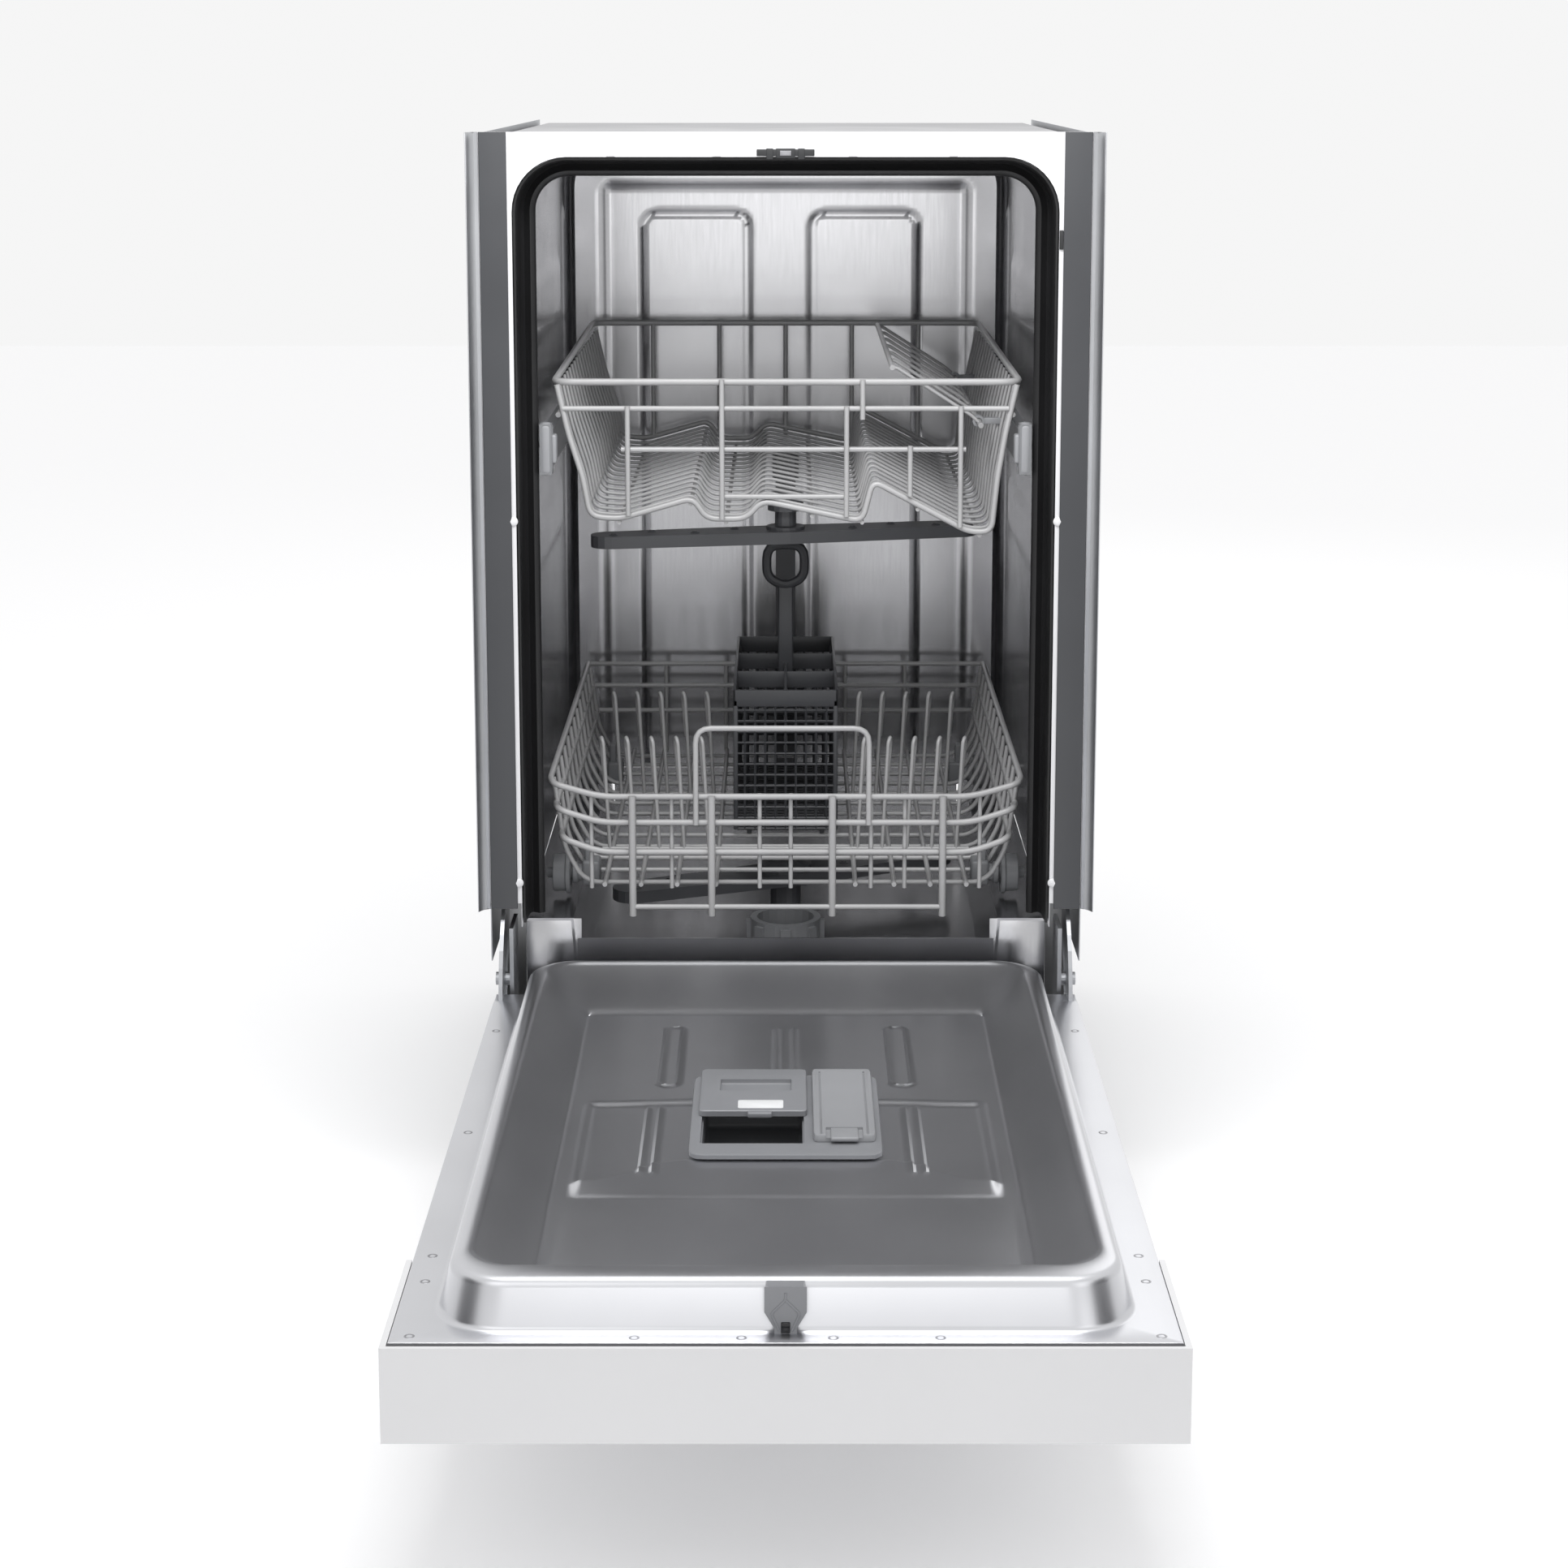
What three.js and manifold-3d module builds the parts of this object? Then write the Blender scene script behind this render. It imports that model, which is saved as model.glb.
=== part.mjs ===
// A 45 cm built-in dishwasher with its door open and its two racks in, in millimetres, +Z up.
// The origin lies on the floor under the middle of the whole machine, and the door opens towards -Y.
import * as THREE from "three";
import { mergeVertices } from "three/addons/utils/BufferGeometryUtils.js";
import Module from "manifold-3d";

const wasm = await Module();
wasm.setup();

// Driving dimensions. Before the last shift, y = 0 is the plane of the white front frame.
const height = 815;
const halfWidth = 224;
const depth = 545;
const doorReach = 630;
const gap = 0.3;
const sheet = 1.5;

// The washing tub, inside measures.
const tub = { half: 200, top: 797, back: 527, front: 3.3, corner: 40, wallBottom: 219 };
const ledge = { inner: 163, z: 216 };
const basin = { half: 158, z: 150, front: 28, back: 524, lip: 200 };

// The open door: its outer sheet is underneath and its stamped inner sheet is on top.
const door = { under: 111, flange: 167, rim: 195, well: 172, half: 220.3, rear: -8 };
const consoleRear = -509;
const pivot = { y: 6, z: 175 };
const armFoot = { front: -84, rear: -25 };
const rimFrame = { half: 189.5, front: -599, rear: -16, taper: 7 };

// The racks.
const upperRack = { rim: 628, rail: 608, foot: 560, half: 172, footHalf: 160, front: 46, back: 500 };
const lowerRack = { floor: 234, half: 182, footHalf: 162, front: 46, back: 500 };
const railHeight = 579;
const roller = { r: 12.1, inner: 177, outer: 183, y: 70 };
const wheel = { flange: 16.5, tread: 14.5, bore: 4.5, half: 7, x: 176, z: 235, front: 90, back: 420 };
const tineRows = { front: 150, back: 320 };
const basket = { half: 43, front: 200, back: 430, bottom: 240, top: 358, wall: 2.5 };
const armHub = { y: 270, radius: 156 };

// Finishes: colour, roughness and metalness of each kind of material.
const finishes = {
  stainless: [0xb9bbbf, 0.28, 1],
  whitePaint: [0xf2f2f3, 0.45, 0],
  darkTrim: [0x3d3f44, 0.5, 0.1],
  rubber: [0x17181a, 0.8, 0],
  galvanised: [0x9a9da1, 0.5, 0.9],
  felt: [0x2b2b2d, 0.95, 0],
  blackPlastic: [0x202124, 0.6, 0],
  greyPlastic: [0x7c8086, 0.5, 0],
  paleGrey: [0xa3a6aa, 0.45, 0],
  darkArm: [0x45474b, 0.5, 0],
  rackCoat: [0x9b9c9e, 0.45, 0.1],
  glossBlack: [0x0c0c0e, 0.1, 0],
};

const machine = new THREE.Group();

// ---- Solids -------------------------------------------------------------------------------

function toSolid(geometry) {
  const bare = geometry.index ? geometry.toNonIndexed() : geometry.clone();
  bare.deleteAttribute("normal");
  bare.deleteAttribute("uv");
  const merged = mergeVertices(bare, 1e-3);
  return new wasm.Manifold(
    new wasm.Mesh({
      numProp: 3,
      vertProperties: merged.attributes.position.array,
      triVerts: new Uint32Array(merged.index.array),
    }),
  );
}

function toGeometry(solid) {
  const mesh = solid.getMesh();
  return new THREE.BufferGeometry()
    .setAttribute("position", new THREE.BufferAttribute(mesh.vertProperties, 3))
    .setIndex(new THREE.BufferAttribute(mesh.triVerts, 1));
}

function join(...parts) {
  return toGeometry(parts.flat(2).map(toSolid).reduce((a, b) => a.add(b)));
}

function cut(base, ...tools) {
  return toGeometry(tools.flat(2).map(toSolid).reduce((a, b) => a.subtract(b), toSolid(base)));
}

// A block between two corners.
function block([x0, x1], [y0, y1], [z0, z1]) {
  const box = new THREE.BoxGeometry(x1 - x0, y1 - y0, z1 - z0);
  return box.translate((x0 + x1) / 2, (y0 + y1) / 2, (z0 + z1) / 2);
}

// A block as wide to the left as to the right.
function middleBlock(half, ys, zs) {
  return block([-half, half], ys, zs);
}

function outline(points) {
  return new THREE.Shape(points.map(([a, b]) => new THREE.Vector2(a, b)));
}

// An (x, z) outline extruded from y0 to y1.
function alongY(shape, y0, y1) {
  const solid = new THREE.ExtrudeGeometry(shape, { depth: y1 - y0, bevelEnabled: false, curveSegments: 5 });
  return solid.rotateX(Math.PI / 2).translate(0, y1, 0);
}

// A (y, z) outline extruded from x0 to x1.
function alongX(shape, x0, x1) {
  const solid = new THREE.ExtrudeGeometry(shape, { depth: x1 - x0, bevelEnabled: false, curveSegments: 6 });
  const turn = new THREE.Matrix4().makeBasis(
    new THREE.Vector3(0, 1, 0),
    new THREE.Vector3(0, 0, 1),
    new THREE.Vector3(1, 0, 0),
  );
  return solid.applyMatrix4(turn).translate(x0, 0, 0);
}

// An (x, y) outline extruded from z0 to z1.
function alongZ(shape, z0, z1) {
  const solid = new THREE.ExtrudeGeometry(shape, { depth: z1 - z0, bevelEnabled: false, curveSegments: 4 });
  return solid.translate(0, 0, z0);
}

// A round bar between two points, with flat ends.
function rod(from, to, r, sides = 4) {
  const a = new THREE.Vector3(...from);
  const b = new THREE.Vector3(...to);
  const bar = new THREE.CylinderGeometry(r, r, a.distanceTo(b), sides);
  const turn = new THREE.Quaternion().setFromUnitVectors(
    new THREE.Vector3(0, 1, 0),
    b.clone().sub(a).normalize(),
  );
  const middle = a.clone().add(b).multiplyScalar(0.5);
  return bar.applyQuaternion(turn).translate(middle.x, middle.y, middle.z);
}

// A bent wire: straight bars that run into each other at the corners.
function wire(points, r, sides = 4) {
  const reach = 0.7 * r;
  return points.slice(1).map((to, i) => {
    const a = new THREE.Vector3(...points[i]);
    const b = new THREE.Vector3(...to);
    const step = b.clone().sub(a).normalize().multiplyScalar(reach);
    return rod(a.sub(step).toArray(), b.add(step).toArray(), r, sides);
  });
}

// A level hoop of square wire.
function ring(half, front, back, z, r) {
  const t = 0.85 * r;
  const corners = (grow) => [
    [-half - grow, front - grow],
    [half + grow, front - grow],
    [half + grow, back + grow],
    [-half - grow, back + grow],
  ];
  const hoop = outline(corners(t));
  hoop.holes.push(new THREE.Path(outline(corners(-t)).getPoints()));
  return alongZ(hoop, z - t, z + t);
}

// A bent strip in an (x, z) plane: the outline on both sides of a line of points.
function ribbon(points, thickness, y0, y1) {
  const line = points.map(([x, z]) => new THREE.Vector2(x, z));
  const across = line.map((point, i) => {
    const before = point.clone().sub(line[Math.max(i - 1, 0)]).normalize();
    const after = line[Math.min(i + 1, line.length - 1)].clone().sub(point).normalize();
    const way = before.add(after).normalize();
    return new THREE.Vector2(-way.y, way.x).multiplyScalar(thickness / 2);
  });
  const upper = line.map((point, i) => point.clone().add(across[i]));
  const lower = line.map((point, i) => point.clone().sub(across[i]));
  return alongY(new THREE.Shape([...lower, ...upper.reverse()]), y0, y1);
}

// Evenly spaced values, both ends included.
function spaced(from, to, count) {
  return Array.from({ length: count }, (_, i) => from + ((to - from) * i) / (count - 1));
}

// An upright doorway outline with round top corners, from its foot up.
function doorway(half, foot, top, corner) {
  const shape = new THREE.Shape();
  shape.moveTo(-half, foot);
  shape.lineTo(half, foot);
  shape.lineTo(half, top - corner);
  shape.absarc(half - corner, top - corner, corner, 0, Math.PI / 2, false);
  shape.lineTo(corner - half, top);
  shape.absarc(corner - half, top - corner, corner, Math.PI / 2, Math.PI, false);
  shape.lineTo(-half, foot);
  return shape;
}

// An arch: the sheet between two doorways of the same foot.
function arch(outer, inner, y0, y1) {
  const below = 20;
  const core = alongY(doorway(inner.half, inner.foot - below, inner.top, inner.corner), y0 - 1, y1 + 1);
  return cut(alongY(doorway(outer.half, outer.foot, outer.top, outer.corner), y0, y1), core);
}

// A pan-shaped block with round corners: its upper outline is given, and it widens downwards by taper.
function pan(half, front, rear, top, bottom, taper, corner = 28) {
  const shape = new THREE.Shape();
  const [left, right] = [-half, half];
  shape.moveTo(left + corner, front);
  shape.lineTo(right - corner, front);
  shape.absarc(right - corner, front + corner, corner, -Math.PI / 2, 0, false);
  shape.lineTo(right, rear - corner);
  shape.absarc(right - corner, rear - corner, corner, 0, Math.PI / 2, false);
  shape.lineTo(left + corner, rear);
  shape.absarc(left + corner, rear - corner, corner, Math.PI / 2, Math.PI, false);
  shape.lineTo(left, front + corner);
  shape.absarc(left + corner, front + corner, corner, Math.PI, 1.5 * Math.PI, false);
  const wide = 1;
  const solid = new THREE.ExtrudeGeometry(shape, {
    depth: wide,
    bevelThickness: top - bottom,
    bevelSize: taper,
    bevelSegments: 1,
    curveSegments: 4,
  });
  solid.translate(0, 0, bottom - wide);
  const far = 2000;
  return cut(solid, block([-far, far], [-far, far], [bottom - far, bottom]));
}

function piece(name, finish, geometry, parent = machine) {
  const [color, roughness, metalness] = finishes[finish];
  const mesh = new THREE.Mesh(geometry, new THREE.MeshStandardMaterial({ color, roughness, metalness }));
  mesh.name = name;
  parent.add(mesh);
  return mesh;
}

const sides = { left: -1, right: 1 };

// The same block on the left or the right of the machine.
function sideBlock(side, [x0, x1], ys, zs) {
  const xs = side < 0 ? [-x1, -x0] : [x0, x1];
  return block(xs, ys, zs);
}

// ---- Cabinet ------------------------------------------------------------------------------

// The inner sheet is bent over the top: each side carries its round corner and half of the roof.
function tubWall(side) {
  const arcs = arch(
    { half: tub.half + sheet, foot: tub.wallBottom, top: tub.top + sheet, corner: tub.corner + sheet },
    { half: tub.half, foot: tub.wallBottom, top: tub.top, corner: tub.corner },
    tub.front,
    tub.back - gap,
  );
  const seam = gap / 2;
  const otherHalf = side < 0 ? [-seam, halfWidth] : [-halfWidth, seam];
  return cut(arcs, block(otherHalf, [0, depth], [0, height]));
}

function tubFloor() {
  const { half, z } = basin;
  const edge = tub.half - gap;
  const section = outline([
    [-edge, ledge.z], [-ledge.inner, ledge.z], [-half, z], [half, z], [ledge.inner, ledge.z],
    [edge, ledge.z], [edge, ledge.z - 2], [ledge.inner + 2, ledge.z - 2], [half + 2, z - 2],
    [-half - 2, z - 2], [-ledge.inner - 2, ledge.z - 2], [-edge, ledge.z - 2],
  ]);
  const web = (y0, top) => middleBlock(half + 2, [y0, y0 + 2], [z - 1, top]);
  const shell = join(
    alongY(section, basin.front, basin.back),
    web(basin.front, basin.lip),
    web(basin.back - 2, ledge.z - 1),
  );
  const drain = new THREE.CylinderGeometry(34, 34, 12, 24).rotateX(Math.PI / 2).translate(0, 185, z);
  const column = new THREE.CylinderGeometry(15, 15, 12, 16).rotateX(Math.PI / 2).translate(0, armHub.y, z);
  return cut(shell, drain, column);
}

function makeTub() {
  piece("tub_left_wall", "stainless", tubWall(sides.left));
  piece("tub_right_wall", "stainless", tubWall(sides.right));
  const outside = doorway(tub.half + sheet, tub.wallBottom, tub.top + sheet, tub.corner + sheet);
  piece("tub_back_wall", "stainless", alongY(outside, tub.back, tub.back + sheet));
  piece("tub_floor", "stainless", tubFloor());
}

function makeFront() {
  const opening = { half: 199.8, top: 797, corner: 40 };
  piece(
    "front_frame",
    "whitePaint",
    cut(
      middleBlock(halfWidth - gap, [0, 2], [236, height]),
      alongY(doorway(opening.half, 200, opening.top, opening.corner), -1, 3),
    ),
  );
  const foot = tub.wallBottom;
  const sleeve = arch(
    { half: 199.5, foot, top: 796.5, corner: 40 },
    { half: 197.8, foot, top: 794.8, corner: 38 },
    4,
    29,
  );
  const lip = arch(
    { half: 199.5, foot, top: 796.5, corner: 40 },
    { half: 185.2, foot, top: 782, corner: 28 },
    28,
    44,
  );
  piece("tub_gasket", "rubber", join(sleeve, lip));
  for (const [name, side] of Object.entries(sides)) {
    const lipReach = 232.5;
    const section = new THREE.Shape();
    section.moveTo(side * 203, -gap);
    section.lineTo(side * 226, -gap);
    section.quadraticCurveTo(side * 230, -1, side * lipReach, -9);
    section.lineTo(side * (lipReach - 1.6), -9.6);
    section.quadraticCurveTo(side * 229, -2.6, side * 225, -1.4);
    section.lineTo(side * 203, -1.3);
    section.closePath();
    piece("trim_strip_" + name, "darkTrim", alongZ(section, 232, height));
  }
  piece("latch_strike", "blackPlastic", middleBlock(21, [-1.7, -gap], [798, 808]));
}

function makeCasing() {
  for (const [name, side] of Object.entries(sides)) {
    const panel = outline([[2.5, 814], [2.5, 190], [110, 190], [110, 62], [543, 62], [543, 814]]);
    const xs = side < 0 ? [-halfWidth, -222.5] : [222.5, halfWidth];
    piece("side_panel_" + name, "galvanised", alongX(panel, ...xs));
  }
  piece("top_mat", "felt", middleBlock(215, [4, 540], [803, 811]));
  const tray = cut(middleBlock(222, [80, 543], [12, 60]), middleBlock(219, [83, 540], [15, 61]));
  piece("base_tray", "blackPlastic", tray);
  piece("kick_plate", "blackPlastic", middleBlock(218, [76, 79.5], [12, 98]));
  const foot = (name, x, y) => {
    const profile = [[0, 0], [19, 0], [19, 5], [8, 8], [8, 11.7], [0, 11.7]];
    const shape = new THREE.LatheGeometry(profile.map(([r, z]) => new THREE.Vector2(r, z)), 16);
    piece(name, "blackPlastic", shape.rotateX(Math.PI / 2)).position.set(x, y, 0);
  };
  foot("foot_front_left", -190, 105);
  foot("foot_front_right", 190, 105);
  foot("foot_rear", 0, 505);
}

// A solid of revolution about a line through (x, y) that points up.
function turned(profile, x, y, segments = 20) {
  const shape = new THREE.LatheGeometry(profile.map(([r, z]) => new THREE.Vector2(r, z)), segments);
  return shape.rotateX(Math.PI / 2).translate(x, y, 0);
}

function makeWaterParts() {
  const cup = [[0, 68], [62, 72], [66, 80], [66, 147], [62, 147], [62, 82], [58, 76], [0, 72]];
  piece("sump", "blackPlastic", turned(cup, 0, 200, 24));
  const motor = rod([-150, 345, 72], [-40, 345, 72], 44, 20);
  piece("wash_pump", "greyPlastic", join(motor, rod([-170, 345, 72], [-149, 345, 72], 30, 16)));
  const drainBody = rod([100, 190, 55], [150, 190, 55], 26, 16);
  piece("drain_pump", "blackPlastic", join(drainBody, rod([149, 190, 55], [185, 190, 55], 18, 16)));
  const stub = rod([150, 514, 90], [150, depth, 90], 10.5, 16);
  piece("inlet_valve", "greyPlastic", join(block([130, 170], [470, 515], [62, 112]), stub));
  piece(
    "air_break_chamber",
    "paleGrey",
    join(block([-220, -204], [160, 420], [300, 620]), block([-216, -208], [280, 330], [240, 301])),
  );
  const upright = middleBlock(9, [513, 525.5], [222, 512]);
  piece("riser_pipe", "darkArm", join(upright, middleBlock(12, [508.5, 514], [490, 512])));
}

// A flat hollow blade with round ends and a hub, turning about an upright axis.
function sprayArm(radius, z, thickness, width) {
  const end = width / 2;
  const blade = new THREE.Shape();
  blade.moveTo(-(radius - end), -end);
  blade.lineTo(0, -end - 5);
  blade.lineTo(radius - end, -end);
  blade.absarc(radius - end, 0, end, -Math.PI / 2, Math.PI / 2, false);
  blade.lineTo(0, end + 5);
  blade.lineTo(-(radius - end), end);
  blade.absarc(-(radius - end), 0, end, Math.PI / 2, 1.5 * Math.PI, false);
  return alongZ(blade, z, z + thickness);
}

function makeLowerArm() {
  const arm = join(
    sprayArm(armHub.radius, 178, 10, 34),
    turned([[0, 153], [13, 153], [13, 178], [22, 178], [22, 193], [12, 196], [0, 196]], 0, 0, 18),
  );
  const mesh = piece("lower_spray_arm", "darkArm", arm);
  mesh.position.set(0, armHub.y, 0);
  mesh.rotation.z = THREE.MathUtils.degToRad(24);
}

// The coarse filter: a tube with a fluted grip ring that stands out of the tub floor.
function makeFilter() {
  const body = turned([[0, 84], [27, 84], [27, 154], [23, 154], [23, 88], [0, 88]], 0, 0, 20);
  const grip = turned([[23.5, 147], [29, 147], [29, 171], [23.5, 171], [23.5, 147]], 0, 0, 20);
  const lugs = spaced(0, 7, 8).map((i) => {
    const lug = block([27, 32], [-4, 4], [152, 168]);
    return lug.rotateZ((i * Math.PI) / 4);
  });
  const collar = turned([[22, 147], [24.5, 147], [24.5, 153], [22, 153], [22, 147]], 0, 0, 20);
  const mesh = piece("filter", "greyPlastic", join(body, collar, grip, lugs));
  mesh.position.set(0, 185, 0);
}

function makeHingeBrackets() {
  for (const [name, side] of Object.entries(sides)) {
    const plate = sideBlock(side, [207, 210], [0.5, 40], [132, 216]);
    const pin = rod([side * 209, pivot.y, pivot.z], [side * 221, pivot.y, pivot.z], 5, 16);
    piece("hinge_bracket_" + name, "galvanised", join(plate, pin));
  }
}

// ---- Door ---------------------------------------------------------------------------------

const doorGroup = new THREE.Group();
machine.add(doorGroup);

function innerPanel() {
  const skin = 2;
  const { half, front, rear, taper } = rimFrame;
  const flange = middleBlock(door.half - gap, [-doorReach + 7, door.rear], [door.flange - skin, door.flange]);
  const raised = pan(half, front, rear, door.rim, door.flange - 1, taper);
  const hollow = pan(half - skin, front + skin, rear - skin, door.rim - skin, door.flange - 3, taper);
  const slope = 30;
  const bowl = (grow, drop) => {
    const floorTop = door.well - drop;
    const front = -578 + slope - grow;
    const back = -30 - slope + grow;
    const shape = pan(178 - slope + grow, front, back, 1, floorTop - door.rim, slope);
    return shape.rotateY(Math.PI).translate(0, 0, floorTop + 1);
  };
  const well = bowl(0, 0);
  const wellSkin = bowl(skin, skin);
  const shell = toSolid(flange).add(toSolid(raised)).subtract(toSolid(hollow).subtract(toSolid(wellSkin)));
  const slots = [
    well,
    middleBlock(12, [-614, -597], [160, 196]),
    middleBlock(59, [-370, -228], [160, 176]),
    ...[-1, 1].map((side) => sideBlock(side, [212.8, 222], [armFoot.rear - 2, 0], [160, 170])),
  ];
  return slots.reduce((a, b) => a.subtract(toSolid(b)), shell);
}

function makeDoorShell() {
  piece("door_inner_panel", "stainless", toGeometry(innerPanel()), doorGroup);
  const top = door.flange - 2 - gap;
  const outside = middleBlock(door.half, [consoleRear + gap, 70], [door.under, door.under + 2]);
  const wall = (side) => sideBlock(side, [door.half - 2, door.half], [consoleRear + gap, -14], [112, top]);
  piece("door_outer_panel", "whitePaint", join(outside, wall(-1), wall(1)), doorGroup);
  piece("door_bottom_seal", "rubber", middleBlock(190, [door.rear + gap, -3], [163, 172]), doorGroup);
}

const buttons = { power_button: -176, program_button: -128, start_button: 176 };
const buttonY = -585;
const buttonRadius = 8;
const windowSpan = [-40, 60];

function makeConsole() {
  const body = middleBlock(halfWidth, [-doorReach, consoleRear], [door.under, door.flange]);
  const wall = 3;
  const inside = middleBlock(
    halfWidth - wall - 0.5,
    [-doorReach + wall, consoleRear - wall],
    [door.under + wall, door.flange + 1],
  );
  const grip = middleBlock(74, [-548, -511], [112, 138]);
  const pocket = middleBlock(71, [-545, -515], [110, 135]);
  const holes = Object.values(buttons).map((x) =>
    rod([x, buttonY, 105], [x, buttonY, 118], buttonRadius + 0.4, 16),
  );
  const pane = block([windowSpan[0] - gap, windowSpan[1] + gap], [-598.3, -571.7], [110, 118]);
  const rearCut = middleBlock(door.half + gap, [-514, -500], [141, 170]);
  const shell = toSolid(body).subtract(toSolid(inside)).add(toSolid(grip));
  const opened = [pocket, pane, rearCut, ...holes].reduce((a, b) => a.subtract(toSolid(b)), shell);
  piece("console", "whitePaint", toGeometry(opened), doorGroup);
  piece("display_window", "glossBlack", block(windowSpan, [-598, -572], [111.2, 113.8]), doorGroup);
  piece("control_box", "blackPlastic", middleBlock(195, [-612, -556], [122, 150]), doorGroup);
  for (const [name, x] of Object.entries(buttons)) {
    const cap = new THREE.CylinderGeometry(buttonRadius, buttonRadius, 8, 16).rotateX(Math.PI / 2);
    piece(name, "paleGrey", cap, doorGroup).position.set(x, buttonY, 114);
  }
}

// A curved arm in the plane of the machine's side, swinging round the pivot.
function makeHingeArms() {
  const shape = new THREE.Shape();
  const underFlange = 163;
  shape.moveTo(armFoot.front, 140);
  shape.lineTo(armFoot.front, underFlange);
  shape.lineTo(armFoot.rear, underFlange);
  shape.quadraticCurveTo(-20, 208, 14, 230);
  shape.lineTo(46, 230);
  shape.lineTo(32, 190);
  shape.absarc(pivot.y, pivot.z, 14, 0.5, -Math.PI / 2, true);
  shape.closePath();
  const bore = new THREE.Path();
  bore.absarc(pivot.y, pivot.z, 5.4, 0, 2 * Math.PI, false);
  shape.holes.push(bore);
  for (const [name, side] of Object.entries(sides)) {
    const xs = side < 0 ? [-216.5, -213.5] : [213.5, 216.5];
    piece("hinge_arm_" + name, "galvanised", alongX(shape, ...xs), doorGroup);
  }
}

function makeDispenser() {
  const body = join(
    middleBlock(58, [-369, -229], [142, 177]),
    middleBlock(62, [-373, -225], [176.3, 180]),
  );
  const chamber = block([-55, 12], [-354, -240], [148, 181]);
  piece("dispenser", "greyPlastic", cut(body, chamber), doorGroup);
  const lid = join(
    block([-57, 14], [-306, -225], [180.3, 184.5]),
    block([-34, -6], [-303, -296], [184, 187]),
  );
  piece("detergent_lid", "greyPlastic", lid, doorGroup);
  const cap = join(
    block([18, 58], [-352, -226], [180.3, 185]),
    block([28, 48], [-357, -351], [181.5, 184.5]),
  );
  piece("rinse_lid", "paleGrey", cap, doorGroup);
  const latch = cut(middleBlock(11, [-612, -600], [167.5, 194]), middleBlock(4, [-613, -606], [160, 182]));
  piece("latch_housing", "greyPlastic", latch, doorGroup);
}

// ---- Upper rack ---------------------------------------------------------------------------

function frontRail(xs, y, z, r) {
  return block(xs, [y - r, y + r], [z - r, z + r]);
}

function post(x, y, zs, r) {
  return block([x - r, x + r], [y - r, y + r], zs);
}

// A leaning wire on each side of a rack, from its foot out to its rim.
function sidePosts(y, [footX, footZ], [rimX, rimZ], r) {
  return [-1, 1].map((side) =>
    ribbon([[side * footX, footZ], [side * rimX, rimZ]], 2 * r, y - r, y + r),
  );
}

const upperGroup = new THREE.Group();
machine.add(upperGroup);

function makeUpperRack() {
  const thin = 1.9;
  const profile = [
    [-153, 555], [-148, 526], [-126, 524], [-70, 540], [-60, 524], [-30, 524], [-18, 538],
    [58, 522], [66, 553], [139, 514], [156, 514], [160, 555],
  ];
  const cross = spaced(66, 486, 9).map((y) => ribbon(profile, 2 * thin, y - thin, y + thin));
  const runners = [[-100, 530], [-45, 522], [20, 528], [147, 512]].map(([x, z]) =>
    block([x - 2, x + 2], [60, 492], [z - 2, z + 2]),
  );
  piece("upper_rack_floor", "rackCoat", join(cross, runners), upperGroup);

  const { rim, rail, foot, half, footHalf, front, back } = upperRack;
  const posts = [
    ...spaced(front + 50, back - 50, 5).flatMap((y) => sidePosts(y, [footHalf, foot], [half, rim], 1.6)),
    ...[-119, -48, 46, 94, 132].map((x) => post(x, front, [526, rim], 1.6)),
    ...[-120, -40, 40, 120].map((x) => post(x, back, [foot, rim], 1.3)),
  ];
  const walls = join(
    ring(half, front, back, rim, 2.6),
    ring(footHalf, front, back, foot, thin),
    frontRail([-half + 4, half - 4], front, rail, 2.2),
    frontRail([-124, 136], front, 577, thin),
    frontRail([-48, 46], front, 541, thin),
    posts,
  );
  piece("upper_rack_walls", "rackCoat", walls, upperGroup);

  for (const [name, side] of Object.entries(sides)) {
    const channel = cut(
      sideBlock(side, [175, 183.5], [40, back], [railHeight - 14, railHeight + 14]),
      sideBlock(side, [176.2, 184], [51, back + 1], [railHeight - 12.5, railHeight + 12.5]),
    );
    const stop = sideBlock(side, [175, 184], [28, 41], [railHeight - 19, railHeight + 19]);
    piece("rack_rail_" + name, "greyPlastic", join(channel, stop), upperGroup);
  }

  const feed = join(
    middleBlock(8, [armHub.y, 505.5], [500, 511]),
    turned([[0, 484], [9, 484], [9, 496], [15, 497], [15, 511], [0, 511]], 0, armHub.y, 18),
  );
  piece("upper_arm_feed", "darkArm", feed, upperGroup);
  const armBlade = join(
    sprayArm(armHub.radius + 8, 471, 10, 30),
    turned([[0, 471], [16, 471], [16, 483.5], [0, 483.5]], 0, 0, 18),
  );
  const arm = piece("upper_spray_arm", "darkArm", armBlade, upperGroup);
  arm.position.set(0, armHub.y, 0);
  arm.rotation.z = THREE.MathUtils.degToRad(12);

  const hinge = [150, 590];
  const edge = [82, 634];
  const shelfSpan = { front: 95, back: 465 };
  const at = ([x, z], y) => [x, y, z];
  const shelf = join(
    rod(at(hinge, shelfSpan.front - 8), at(hinge, shelfSpan.back + 8), 2.2, 6),
    rod(at(edge, shelfSpan.front - 2), at(edge, shelfSpan.back + 2), 2.2, 6),
    spaced(shelfSpan.front, shelfSpan.back, 7).map((y) => rod(at(hinge, y), at(edge, y), 1.8)),
  );
  piece("cup_shelf", "rackCoat", shelf, upperGroup);
}

function makeRollers() {
  for (const [name, side] of Object.entries(sides)) {
    const disc = rod([side * roller.inner, 0, 0], [side * roller.outer, 0, 0], roller.r, 20);
    const axle = rod([side * (roller.outer - 1), 0, 0], [side * (tub.half - gap), 0, 0], 4, 10);
    const mesh = piece("rail_roller_" + name, "paleGrey", join(disc, axle));
    mesh.position.set(0, roller.y, railHeight);
  }
}

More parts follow.
